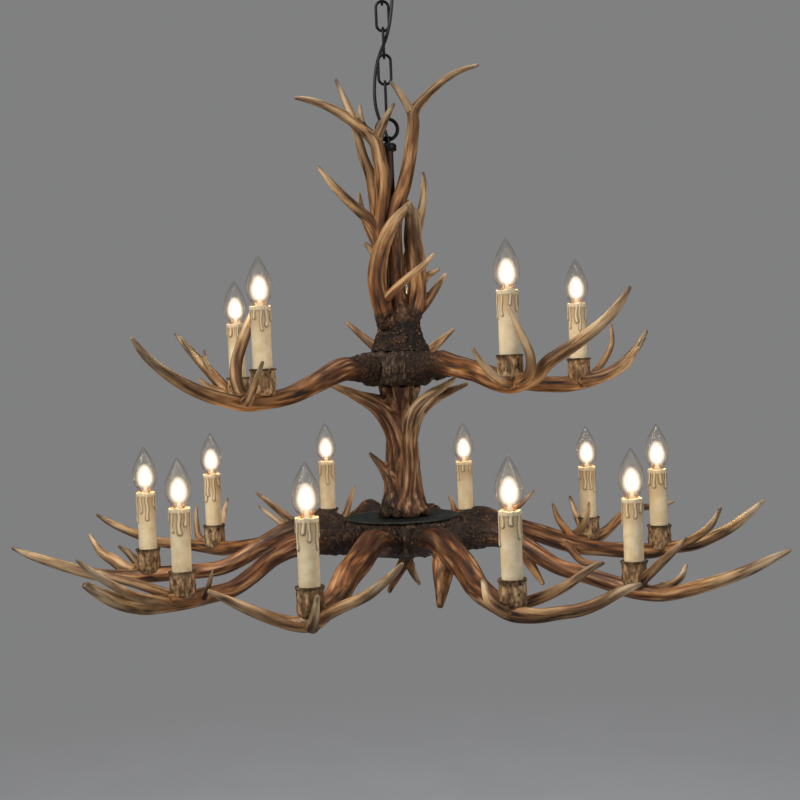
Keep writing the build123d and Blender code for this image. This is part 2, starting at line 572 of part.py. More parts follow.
# Dowels, half in the hub or stump and half in the antler
with BuildPart() as dowels:
    for dowel_plane in dowel_planes:
        prism(dowel_plane.offset(-DOWEL_REACH), DOWEL_R, DOWEL_SIDES, 2 * DOWEL_REACH)
save(dowels, "antler_dowels")

# Trunk between the hubs, with the branches that spread under the upper one
with BuildPart() as trunk:
    turned(Vector(COLUMN_X, 0, trunk_z), [*TRUNK_LEVELS, (trunk_h, TRUNK_TOP_R)], COLUMN_SIDES)
    for points in TRUNK_BRANCHES:
        limb([(x, y, trunk_z + up, radius) for x, y, up, radius in points], TINE_SIDES)
    prism(Plane.XY.offset(trunk_z), stem_bore_r, ROUND_SIDES, trunk_h, Mode.SUBTRACT)
save(trunk, "trunk")

# Round plates on the lower hub's top and underside
plates = {"top_plate": (TOP_PLATE_R, lower_hub_z), "bottom_plate": (BOTTOM_PLATE_R, nut_z)}
for label, (plate_r, foot_z) in plates.items():
    with BuildPart() as plate:
        prism(Plane.XY.offset(foot_z), plate_r, PLATE_SIDES, PLATE_T)
        prism(Plane.XY.offset(foot_z), stem_bore_r, ROUND_SIDES, PLATE_T, Mode.SUBTRACT)
    save(plate, label)

# Nut on the stem's foot, under the bottom plate
with BuildPart() as bottom_nut:
    prism(Plane.XY.offset(nut_z), BOTTOM_NUT_R, 6, -BOTTOM_NUT_H)
    prism(Plane.XY.offset(nut_z), STEM_R + THREAD_FIT, ROUND_SIDES, -BOTTOM_NUT_H, Mode.SUBTRACT)
save(bottom_nut, "bottom_nut")

# Lamp holders, each a post in its sleeve with a socket for the bulb's base
holder_top = SLEEVE_RISE - HOLDER_DROP
base_foot = SLEEVE_RISE - BULB_DROP - BULB_BASE_L
with BuildPart() as holders:
    for _, rim in lamps:
        turned(rim, [(-SLEEVE_SINK, HOLDER_R), (holder_top, HOLDER_R)], HOLDER_SIDES)
        socket = Plane(rim + Vector(0, 0, holder_top))
        prism(socket, BULB_BASE_R + BULB_FIT, HOLDER_SIDES, base_foot - BULB_FIT - holder_top, Mode.SUBTRACT)
save(holders, "lamp_holders")

# Candle sleeves, standing in the cups round the holders
with BuildPart() as sleeves:
    for _, rim in lamps:
        foot = Plane(rim - Vector(0, 0, SLEEVE_SINK))
        prism(foot, SLEEVE_R, ROUND_SIDES, SLEEVE_SINK + SLEEVE_RISE)
        prism(foot, SLEEVE_R - SLEEVE_WALL, ROUND_SIDES, SLEEVE_SINK + SLEEVE_RISE, Mode.SUBTRACT)
save(sleeves, "candle_sleeves")

# Bulbs, each a glass flame on its screw base
for label, rim in lamps:
    with BuildPart() as bulb:
        turned(rim + Vector(0, 0, base_foot), [(0, BULB_BASE_R), (BULB_BASE_L, BULB_BASE_R)] + [
            (BULB_BASE_L + up, radius) for up, radius in GLASS_LEVELS], BULB_SIDES)
    save(bulb, label)

# Supply cord: straight runs joined by tangent arcs
spots = [Vector(*spot) for spot in CORD_ROUTE]
cord_runs = [after - before for before, after in zip(spots, spots[1:])]
bend_radii = [
    CORD_RUN_SHARE * min(before.length, after.length) / tan(radians(before.get_angle(after) / 2))
    for before, after in zip(cord_runs, cord_runs[1:])
]
with BuildPart() as cord:
    with BuildLine() as route:
        FilletPolyline(*spots, radius=bend_radii)
    with BuildSketch(Plane(spots[0], z_dir=cord_runs[0])) as section:
        RegularPolygon(CORD_R, CORD_SIDES)
    sweep(path=route.line)
save(cord, "supply_cord")
cord_l = sum(edge.length for edge in route.edges())
print("cord bend radii", [round(radius) for radius in bend_radii], "length", round(cord_l, 1))
print("cord volume over section times length", round(cord.part.volume / (section.sketch.area * cord_l), 4))
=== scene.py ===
"""Looks of the antler ceiling light: two tiers of antler arms with candle lamps, hung on a chain.

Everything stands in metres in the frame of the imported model, with the ceiling at z = 0. The point
lists are in millimetres.
"""

from __future__ import annotations

import json
import logging
import math
import random
from dataclasses import dataclass, field
from enum import Enum
from typing import Sequence, Union

import bmesh
import bpy
import numpy as np
from mathutils import Matrix, Vector, kdtree, noise

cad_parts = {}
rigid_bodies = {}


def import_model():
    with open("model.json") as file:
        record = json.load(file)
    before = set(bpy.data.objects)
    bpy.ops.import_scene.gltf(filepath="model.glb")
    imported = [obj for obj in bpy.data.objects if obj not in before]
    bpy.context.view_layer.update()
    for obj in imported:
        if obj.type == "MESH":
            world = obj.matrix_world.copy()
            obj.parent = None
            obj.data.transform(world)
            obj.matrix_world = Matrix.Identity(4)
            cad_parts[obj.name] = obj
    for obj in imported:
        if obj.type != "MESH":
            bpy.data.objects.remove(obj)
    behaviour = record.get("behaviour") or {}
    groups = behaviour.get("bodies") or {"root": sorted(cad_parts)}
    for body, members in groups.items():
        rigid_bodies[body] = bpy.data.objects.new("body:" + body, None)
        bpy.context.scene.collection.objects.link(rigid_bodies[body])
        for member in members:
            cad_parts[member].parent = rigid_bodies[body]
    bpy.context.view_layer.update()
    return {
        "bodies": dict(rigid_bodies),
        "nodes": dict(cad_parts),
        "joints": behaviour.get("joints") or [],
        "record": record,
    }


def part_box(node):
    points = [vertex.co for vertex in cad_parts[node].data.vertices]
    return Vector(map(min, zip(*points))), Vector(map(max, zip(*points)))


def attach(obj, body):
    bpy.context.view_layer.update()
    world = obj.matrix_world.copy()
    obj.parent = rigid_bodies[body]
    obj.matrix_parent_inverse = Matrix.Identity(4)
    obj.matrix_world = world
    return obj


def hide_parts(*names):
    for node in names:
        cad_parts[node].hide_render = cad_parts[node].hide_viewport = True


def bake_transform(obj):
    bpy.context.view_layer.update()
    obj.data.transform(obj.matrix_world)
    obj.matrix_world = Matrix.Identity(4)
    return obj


LOG = logging.getLogger("antler_light")
MM = 0.001
FULL_TURN = 2 * math.pi
ORIGIN = Vector((0, 0, 0))

Triple = tuple[float, float, float]
Colour = Triple
Stops = Sequence[tuple[float, Colour]]
Profile = Sequence[tuple[float, float]]
Limb = Sequence[tuple[float, float, float, float]]

# The limbs of each arm: lists of (outwards, sideways, up, radius), from the middle of its cup's
# rim. The first is the beam, which runs in to the hub, and the others are its tines.
LOWER_ARMS = [
    [
        [(-248, 0, 17, 19), (-208, 0, 8, 18.5), (-154, 0, -9, 17.5), (-115, 0, -28, 16),
         (-45, 0, -40, 13), (5, 0, -43, 11), (28, 20, -44, 9), (31, 45, -43, 8),
         (31, 74, -42, 8), (27, 100, -38, 7.5), (21, 138, -27, 6), (14, 172, -21, 2.5)],
        [(5, -8, -42, 8), (8, -34, -24, 7), (-10, -36, 1, 2.5)],
        [(-228, -2, 6, 17), (-213, -9, -12, 16), (-203, -15, -26, 13.5), (-193, -21, -42, 9.5),
         (-182, -29, -63, 4)],
        [(-20, 8, -40, 8), (-9, 51, -27, 7), (-4, 77, -16, 6), (6, 109, 5, 4), (11, 122, 10, 2)],
    ],
    [
        [(-210, 0, 26, 18), (-173, 0, 13, 14), (-118, 0, -15, 11), (-83, 0, -23, 11),
         (-51, 0, -30, 11), (-6, 0, -40, 12), (32, 0, -44, 10), (53, 0, -42, 9), (87, 0, -32, 9),
         (125, 0, -19, 8), (161, 0, -4, 7), (192, 0, 12, 5), (217, 0, 25, 2)],
        [(-180, 0, 12, 9), (-173, -2, 3, 7.5), (-155, -3, -21, 6), (-140, -3, -42, 2.5)],
        [(5, -2, -38, 8), (14, -8, -27, 7), (42, -22, -4, 6), (73, -40, 20, 4.5),
         (102, -60, 43, 2)],
        [(30, 2, -40, 8), (49, 10, -32, 5.5), (60, 20, -21, 4), (65, 25, -5, 1.8)],
    ],
    [
        [(-243, 0, 12, 18), (-208, 0, 2, 13), (-148, 0, -21, 12), (-124, 0, -28, 12),
         (-90, 0, -33, 11), (-17, 0, -40, 11.5), (18, 0, -36, 9.5), (52, 0, -33, 9),
         (83, 0, -22, 8.5), (111, 0, -9, 7.5), (138, 0, 10, 6), (163, 0, 31, 2)],
        [(-126, 4, -26, 8), (-138, 8, -8, 6), (-152, 14, 14, 4.5), (-159, 20, 38, 1.8)],
        [(-150, -6, -22, 8), (-142, -20, -26, 6), (-124, -38, -46, 5), (-95, -58, -46, 1.8)],
        [(8, -6, -38, 8), (35, -40, -22, 6.5), (60, -75, 5, 5), (70, -100, 34, 2)],
    ],
    [
        [(-240, 0, 24, 18), (-204, 0, 16, 14), (-160, 0, 2, 12), (-113, 0, -12, 11),
         (-60, 0, -30, 11), (-6, 0, -40, 11.5), (25, 0, -35, 10), (48, 0, -26, 8),
         (83, 0, -6, 7), (130, 0, 2, 6), (175, 0, 0, 5), (215, 0, 4, 2)],
        [(0, 8, -40, 8), (30, 45, -30, 7), (55, 85, -10, 5.5), (66, 112, 22, 2)],
        [(-70, -4, -28, 8), (-60, -30, -18, 6), (-52, -48, 8, 4), (-54, -56, 34, 1.8)],
    ],
    [
        [(-240, 0, 20, 18), (-200, 0, 12, 14), (-155, 0, 0, 12), (-110, 0, -14, 11),
         (-60, 0, -30, 11), (-6, 0, -40, 11.5), (35, 2, -42, 10), (80, 10, -36, 9),
         (125, 22, -20, 8), (165, 34, 4, 6), (195, 42, 30, 2)],
        [(-105, 0, -14, 8), (-93, -2, 10, 5), (-63, 14, 31, 1.8)],
        [(10, -6, -40, 8), (40, -42, -28, 6.5), (62, -80, -6, 5), (70, -112, 24, 2)],
        [(-262, 2, 4, 13), (-270, 14, -18, 11.5), (-286, 30, -46, 10), (-292, 46, -74, 7),
         (-296, 58, -98, 3)],
        [(-284, 28, -44, 8), (-284, 20, -68, 5.5), (-281, 10, -88, 2.5)],
    ],
    [
        [(-250, 0, 20, 18), (-205, 0, 10, 14), (-160, 0, -2, 12), (-112, 0, -16, 11),
         (-60, 0, -32, 11), (-6, 0, -40, 11.5), (35, -3, -42, 10), (80, -12, -38, 9),
         (120, -26, -24, 8), (160, -42, 0, 6), (190, -54, 28, 2)],
        [(0, 4, -38, 9), (0, 30, -28, 8), (4, 60, -22, 7.5), (14, 93, 6, 6), (24, 126, 36, 2)],
        [(5, 58, -24, 6), (14, 78, -24, 5.5), (29, 97, -10, 4), (44, 117, 8, 1.8)],
        [(-4, -6, -34, 8), (-10, -28, -14, 6), (-10, -38, 12, 4.5), (-6, -49, 37, 1.8)],
    ],
    [
        [(-235, 0, 16, 18), (-177, 0, 2, 14), (-140, 0, -14, 12), (-104, 0, -27, 11),
         (-60, 0, -35, 11), (-16, 0, -40, 11.5), (22, 4, -38, 10), (60, 14, -34, 8.5),
         (95, 32, -30, 8), (121, 60, -14, 7), (143, 95, 8, 5.5), (147, 125, 27, 2)],
        [(16, 0, -36, 7), (36, 0, -22, 5.5), (40, 0, 4, 4), (38, 0, 30, 1.5)],
        [(0, -8, -38, 8), (30, -45, -24, 6.5), (54, -82, 0, 5), (62, -106, 30, 2)],
    ],
    [
        [(-226, 0, 16, 18), (-173, 0, -3, 13), (-143, 0, -20, 12), (-111, 0, -34, 11),
         (-78, 0, -38, 11), (-18, 0, -40, 11.5), (29, 0, -42, 10), (77, 0, -37, 9),
         (112, 0, -27, 8), (149, 0, -14, 7), (180, 0, -2, 5), (205, 0, 10, 2)],
        [(14, -4, -36, 9), (33, -8, -32, 9.5), (58, -20, -18, 8.5), (78, -36, -8, 6),
         (101, -60, 18, 2)],
        [(2, -6, -34, 8), (20, -18, -24, 6.5), (36, -28, -9, 5), (51, -34, 1, 2)],
    ],
    [
        [(-184, 0, 13, 17), (-144, 0, 0, 13), (-109, 0, -21, 12), (-75, 0, -36, 11.5),
         (-51, 0, -38, 11.5), (0, 0, -41, 12), (40, 8, -40, 11), (67, 18, -37, 10.5),
         (104, 28, -25, 10), (136, 38, -8, 8), (163, 48, 9, 4)],
        [(30, 14, -36, 7), (69, 30, -24, 5.5), (94, 38, -15, 5.5), (124, 50, 2, 5),
         (162, 64, 28, 4), (182, 72, 45, 1.8)],
        [(10, -4, -36, 8), (30, -16, -25, 7), (58, -32, -12, 6), (84, -46, -2, 4.5),
         (104, -60, 9, 2)],
        [(-28, 8, -40, 5), (-24, 18, -36, 4), (-27, 26, -16, 3), (-30, 30, 0, 1.5)],
    ],
    [
        [(-254, 0, 15, 19), (-196, 0, 0, 18.5), (-137, 0, -14, 17.5), (-98, 0, -31, 16),
         (-40, 0, -42, 13), (0, -4, -46, 12), (6, -22, -46, 9), (21, -49, -35, 7.5),
         (33, -80, -19, 6), (43, -117, 0, 2.5)],
        [(4, 4, -46, 9), (24, 10, -45, 8), (38, 18, -34, 6.5), (54, 30, -2, 2.5)],
        [(0, 8, -42, 8), (6, 42, -25, 7), (23, 81, -7, 6.5), (41, 107, 11, 5.5),
         (51, 127, 27, 4), (56, 138, 38, 2)],
    ],
]
UPPER_ARMS = [
    [
        [(-172, 0, -9, 17), (-130, 0, -15, 15), (-84, 0, -22, 14), (-28, 0, -36, 13),
         (6, 2, -40, 11), (36, 14, -30, 9.5), (52, 24, -12, 9), (85, 47, 12, 8),
         (118, 70, 41, 6.5), (136, 80, 62, 5), (147, 86, 80, 2)],
        [(20, 0, -36, 8), (48, -4, -26, 7), (60, -10, -3, 6), (52, -20, 31, 4.5),
         (43, -30, 62, 1.8)],
        [(6, -6, -38, 8), (30, -40, -32, 6.5), (50, -72, -16, 5), (60, -98, 10, 2)],
    ],
    [
        [(-172, 0, -12, 16), (-128, 0, -24, 12.5), (-90, 0, -34, 11.5), (-22, 0, -40, 12),
         (12, 0, -37, 10), (46, 0, -27, 9), (70, 0, -14, 8), (89, 0, 4, 6.5), (103, 0, 20, 5),
         (115, 0, 39, 2)],
        [(10, 3, -36, 8), (24, 6, -28, 6.5), (42, 10, -10, 5.5), (60, 12, 20, 4),
         (60, 12, 52, 1.8)],
        [(0, -8, -38, 8), (26, -44, -30, 6.5), (48, -78, -12, 5), (58, -104, 14, 2)],
    ],
    [
        [(-170, 0, -6, 16), (-128, 0, -18, 13), (-90, 0, -28, 12), (-22, 0, -40, 12),
         (14, 0, -38, 10), (50, 4, -28, 9), (82, 10, -10, 8), (110, 16, 14, 6), (130, 20, 44, 2)],
        [(-132, 4, -14, 9), (-136, 26, 8, 8.5), (-132, 56, 34, 7), (-110, 97, 70, 3)],
        [(-132, -4, -14, 9), (-136, -24, 6, 8.5), (-134, -48, 26, 7), (-112, -78, 52, 3)],
        [(6, 6, -38, 8), (32, 42, -30, 6.5), (52, 76, -12, 5), (60, 100, 16, 2)],
    ],
    [
        [(-178, 0, 4, 16), (-135, 0, -12, 13), (-76, 0, -34, 12), (-24, 0, -40, 12),
         (8, 0, -34, 10.5), (34, 0, -8, 9), (56, 0, 14, 8), (78, 0, 36, 6.5), (98, 0, 58, 5),
         (114, 0, 75, 2)],
        [(36, 2, -6, 5), (50, 4, 14, 4), (56, 6, 30, 3.5), (57, 6, 47, 1.5)],
        [(14, 4, -28, 6), (34, 14, -18, 5), (46, 20, -10, 4), (58, 26, 1, 2)],
        [(-4, -8, -38, 8), (20, -44, -30, 6.5), (40, -78, -14, 5), (48, -104, 12, 2)],
    ],
    [
        [(-157, 0, -7, 17), (-101, 0, -24, 14), (-66, 0, -36, 12), (-30, 0, -42, 12),
         (35, 0, -46, 10.5), (66, 0, -40, 9.5), (97, 0, -32, 9), (141, 0, -14, 8),
         (182, 0, 11, 6), (203, 0, 29, 4.5), (218, 0, 47, 2)],
        [(30, -2, -42, 9), (37, -8, -29, 8.5), (24, -27, 5, 8), (-2, -30, 55, 7),
         (-24, -32, 93, 2.5)],
        [(36, 4, -44, 7), (58, 36, -36, 6), (74, 66, -16, 4.5), (80, 88, 10, 2)],
    ],
]

# The column's antlers, as (x, y, up from the stump's top, radius)
COLUMN_ANTLERS = {
    "column_antler_left": [
        [(-16, 5, -8, 10), (-19, 2, 73, 10), (-14, -12, 131, 10.5), (-11, -17, 184, 10),
         (-10, -18, 222, 9.5), (-13, -17, 242, 9), (-17, -16, 266, 8.5), (-28, -10, 281, 7.5),
         (-46, -8, 297, 6.5), (-68, -8, 313, 6), (-88, -8, 325, 5), (-114, -8, 335, 4),
         (-136, -8, 340, 2)],
        [(-42, -8, 294, 6), (-51, -6, 309, 5.5), (-63, -4, 338, 4), (-74, 0, 367, 1.8)],
        [(-33, -9, 286, 5), (-39, -6, 305, 4), (-39, -4, 326, 1.6)],
        [(-17, -16, 264, 7), (-12, -19, 280, 6.5), (-1, -22, 302, 4.5), (12, -24, 323, 1.8)],
        [(-14, -14, 124, 8.5), (-27, -15, 148, 8), (-51, -16, 171, 6.5), (-80, -18, 202, 5),
         (-106, -20, 235, 2)],
    ],
    "column_antler_right": [
        [(4, -14, -8, 9), (3, -18, 84, 9), (4, -20, 132, 9.5), (10, -19, 170, 9.5),
         (21, -10, 200, 9), (29, 0, 230, 8.5), (35, 1, 260, 8), (40, -3, 294, 7.5),
         (41, -6, 312, 7), (59, -6, 333, 5.5), (79, -4, 351, 4.5), (108, -2, 369, 3.5),
         (141, -2, 379, 2)],
        [(39, -5, 306, 6), (32, -12, 321, 5), (21, -18, 339, 4), (8, -21, 355, 1.8)],
        [(6, 24, 60, 8), (16, 44, 84, 6.5), (28, 62, 116, 4.5), (34, 72, 152, 2)],
        [(27, 3, 224, 8), (20, 15, 197, 8.5), (10, 20, 172, 9), (5, 22, 133, 9.5),
         (6, 23, 73, 10), (9, 23, -8, 10)],
    ],
    "column_antler_front": [
        [(-11, -18, -8, 11), (-19, -27, 29, 12.5), (-24, -31, 60, 12), (-21, -34, 87, 11.5),
         (-12, -37, 115, 10), (5, -39, 146, 8), (20, -38, 163, 5), (31, -37, 176, 2)],
        [(-18, -30, 24, 7), (-5, -39, 40, 5.5), (17, -41, 59, 5), (42, -41, 78, 4),
         (62, -41, 97, 1.8)],
    ],
    "column_antler_side": [
        [(22, -11, -8, 11), (31, -4, 24, 12.5), (35, 0, 46, 12), (35, 0, 95, 12),
         (32, -1, 119, 11.5), (33, -3, 150, 10), (30, -6, 166, 7), (26, -8, 180, 3)],
        [(33, -1, 120, 8), (41, 0, 146, 6.5), (49, 0, 174, 5), (52, 0, 202, 4),
         (51, 0, 223, 1.8)],
        [(34, -3, 14, 8), (44, 0, 22, 6.5), (62, 0, 45, 5), (80, 0, 69, 2)],
        [(38, 2, 52, 7), (50, 8, 66, 5), (71, 10, 77, 1.8)],
    ],
    "column_antler_back": [
        [(-14, 26, -8, 9), (-17, 25, 73, 9), (-19, 21, 140, 8.5), (-23, 16, 190, 8),
         (-28, 13, 222, 7), (-38, 12, 252, 6), (-45, 12, 284, 5), (-54, 16, 312, 4),
         (-62, 22, 336, 2)],
        [(-19, 24, 96, 6), (-31, 20, 110, 4.5), (-41, 18, 122, 2)],
        [(-18, 26, 110, 7), (-30, 46, 136, 6), (-42, 64, 166, 4.5), (-48, 74, 204, 2)],
    ],
}

# The trunk's branches, as (x, y, up from the trunk's foot, radius)
TRUNK_BRANCHES = [
    [(11, -17, 4, 8), (13, -20, 40, 8), (15, -19, 80, 9), (17, -18, 124, 10.5),
     (27, -26, 160, 10.5), (46, -38, 180, 8.5), (66, -50, 193, 6), (86, -63, 207, 3)],
    [(8, -2, 76, 11), (14, -4, 118, 13), (25, -9, 150, 12), (47, -16, 171, 8.5),
     (72, -22, 184, 6), (105, -30, 197, 3)],
    [(0, 2, 80, 11), (-5, 0, 124, 14), (-13, -4, 152, 14), (-28, -8, 172, 11),
     (-58, -15, 185, 6.5), (-78, -19, 197, 3)],
    [(-1, -5, 72, 11), (-5, -8, 112, 14), (-14, -12, 142, 14), (-33, -18, 167, 11),
     (-62, -32, 186, 8), (-84, -44, 197, 5.5), (-104, -54, 206, 3)],
    [(-2, 0, 28, 15), (-13, -2, 52, 12), (-26, -3, 72, 7.5), (-37, -4, 86, 5), (-47, -4, 98, 2.5)],
    [(4, 6, 90, 11), (5, 10, 130, 13), (14, 28, 170, 9), (22, 50, 184, 6.5), (30, 82, 196, 3)],
]

# The supply cord's route from the canopy's bushing, through the chain, to the stem's cap
CORD_ROUTE = [
    (20, 0, -42), (20, 0, -58), (18.5, -2.5, -78), (16, -5, -100), (13.5, -6.5, -122),
    (10, -7, -143), (3.5, -2, -164), (-5.5, 5, -180), (-12, 7.5, -199), (-15.5, 7.5, -220),
    (-17, 6.5, -243), (-15.5, 7, -264), (-9, 9, -286), (0, 9, -303), (0, 9, -317.2),
]


class Slot(Enum):
    """The record's material slots."""

    ANTLER = "antler"
    BARK = "bark"
    BLACK_METAL = "black_metal"
    BROWN_METAL = "brown_metal"
    SLEEVE = "sleeve"
    BLACK_PLASTIC = "black_plastic"
    GLASS = "bulb_glass"
    CORD = "cord"


# Finishes

# The sockets and the output for colours of a node that mixes numbers, vectors or colours
NEAR_COLOUR, FAR_COLOUR, MIXED_COLOUR = 6, 7, 2


class Signal:
    """A socket that carries a number, on which arithmetic adds Math nodes."""

    def __init__(self, recipe: Recipe, socket: bpy.types.NodeSocket) -> None:
        """Keep the socket.

        Args:
            recipe: The recipe that it belongs to.
            socket: The output that carries the number.
        """
        self.recipe = recipe
        self.socket = socket

    def _math(self, operation: str, left: Term, right: Term = 0.0, clamp: bool = False) -> Signal:
        """Add one Math node.

        Args:
            operation: What it does.
            left: Its first number.
            right: Its second number.
            clamp: Whether the result is held between 0 and 1.

        Returns:
            The signal of the result.
        """
        settings = {"operation": operation, "use_clamp": clamp}
        return self.recipe.node("ShaderNodeMath", settings, {0: left, 1: right})

    def __add__(self, other: Term) -> Signal:
        """Give self + other."""
        return self._math("ADD", self, other)

    def __radd__(self, other: Term) -> Signal:
        """Give other + self."""
        return self._math("ADD", other, self)

    def __sub__(self, other: Term) -> Signal:
        """Give self - other."""
        return self._math("SUBTRACT", self, other)

    def __rsub__(self, other: Term) -> Signal:
        """Give other - self."""
        return self._math("SUBTRACT", other, self)

    def __mul__(self, other: Term) -> Signal:
        """Give self * other."""
        return self._math("MULTIPLY", self, other)

    def __rmul__(self, other: Term) -> Signal:
        """Give other * self."""
        return self._math("MULTIPLY", other, self)

    def __truediv__(self, other: Term) -> Signal:
        """Give self / other."""
        return self._math("DIVIDE", self, other)

    def __pow__(self, other: Term) -> Signal:
        """Give self to the power of other."""
        return self._math("POWER", self, other)

    def clamped(self) -> Signal:
        """Hold the number between 0 and 1."""
        return self._math("ADD", self, 0.0, True)

    def between(self, low: float, high: float) -> Signal:
        """Rise from 0 at low to 1 at high."""
        return ((self - low) / (high - low)).clamped()

    def larger(self, other: Term) -> Signal:
        """Give the larger of two numbers."""
        return self._math("MAXIMUM", self, other)


Term = Union[Signal, float]


class Recipe:
    """A material under construction."""

    def __init__(self, name: str, tree: bpy.types.NodeTree | None = None) -> None:
        """Start an empty material, or empty a tree that is there.

        Args:
            name: The material's name.
            tree: The nodes of a world, if it isn't a material.
        """
        if tree is None:
            self.material = bpy.data.materials.new(name)
            self.material.use_nodes = True
            tree = self.material.node_tree
        self.tree = tree
        self.tree.nodes.clear()

    def node(self, kind: str, settings: dict | None = None, inputs: dict | None = None,
             output: int | str = 0) -> Signal:
        """Add any node.

        Args:
            kind: The node's type.
            settings: Its properties, among them a ramp's stops as (position, colour) pairs.
            inputs: Values or signals for its sockets, by name or number.
            output: The socket that is handed on.

        Returns:
            The signal of that output.
        """
        made = self.tree.nodes.new(kind)
        for name, value in (settings or {}).items():
            if name == "stops":
                self._set_stops(made.color_ramp.elements, value)
            else:
                setattr(made, name, value)
        for name, value in (inputs or {}).items():
            if isinstance(value, Signal):
                self.tree.links.new(value.socket, made.inputs[name])
            else:
                made.inputs[name].default_value = value
        return Signal(self, made.outputs[output] if made.outputs else None)

    @staticmethod
    def _set_stops(elements: bpy.types.ColorRampElements, stops: Stops) -> None:
        """Give a new ramp its stops, of which it already has two.

        Args:
            elements: The ramp's elements.
            stops: Their positions and colours.
        """
        for element, (position, colour) in zip(elements, (stops[0], stops[-1])):
            element.position, element.color = position, (*colour, 1.0)
        for position, colour in stops[1:-1]:
            elements.new(position).color = (*colour, 1.0)

    def attribute(self, name: str, output: str = "Fac") -> Signal:
        """Read an attribute of the piece's mesh."""
        return self.node("ShaderNodeAttribute", {"attribute_name": name}, output=output)

    def place(self) -> Signal:
        """Read the Object coordinates."""
        return self.node("ShaderNodeTexCoord", output="Object")

    def stretched(self, vector: Signal, scale: Triple) -> Signal:
        """Scale a vector on each axis."""
        return self.node("ShaderNodeVectorMath", {"operation": "MULTIPLY"}, {0: vector, 1: scale})

    def noise(self, vector: Signal, scale: float, detail: float,
              roughness: float = 0.55) -> Signal:
        """Give a noise of a scale, in features per metre."""
        return self.node("ShaderNodeTexNoise", {}, {
            "Vector": vector, "Scale": scale, "Detail": detail, "Roughness": roughness})

    def pearls(self, vector: Signal, scale: float) -> Signal:
        """Give 1 in the middle of each of many small pearls, and 0 between them."""
        far = self.node("ShaderNodeTexVoronoi", {}, {"Vector": vector, "Scale": scale}, "Distance")
        return (0.95 - far * 1.35).clamped()

    def ramp(self, factor: Signal, stops: Stops) -> Signal:
        """Colour a number by stops."""
        return self.node("ShaderNodeValToRGB", {"stops": stops}, {"Fac": factor})

    def blend(self, factor: Term, near: Signal | Colour, far: Signal | Colour) -> Signal:
        """Mix two colours, the near one where the factor is 0 and the far one where it is 1."""
        near, far = (c if isinstance(c, Signal) else (*c, 1.0) for c in (near, far))
        return self.node("ShaderNodeMix", {"data_type": "RGBA", "clamp_factor": True},
                         {0: factor, NEAR_COLOUR: near, FAR_COLOUR: far}, MIXED_COLOUR)

    def bump(self, height: Signal, depth: float, strength: float) -> Signal:
        """Give the normal of a surface that a height of 1 raises by a depth."""
        return self.node("ShaderNodeBump", {}, {
            "Height": height, "Distance": depth, "Strength": strength}, "Normal")

    def surface(self, inputs: dict) -> bpy.types.Material:
        """Close the recipe with one Principled shader."""
        return self.close(self.node("ShaderNodeBsdfPrincipled", {}, inputs))

    def close(self, shader: Signal) -> bpy.types.Material:
        """Lead a shader to the output."""
        self.node("ShaderNodeOutputMaterial", {}, {"Surface": shader})
        return self.material


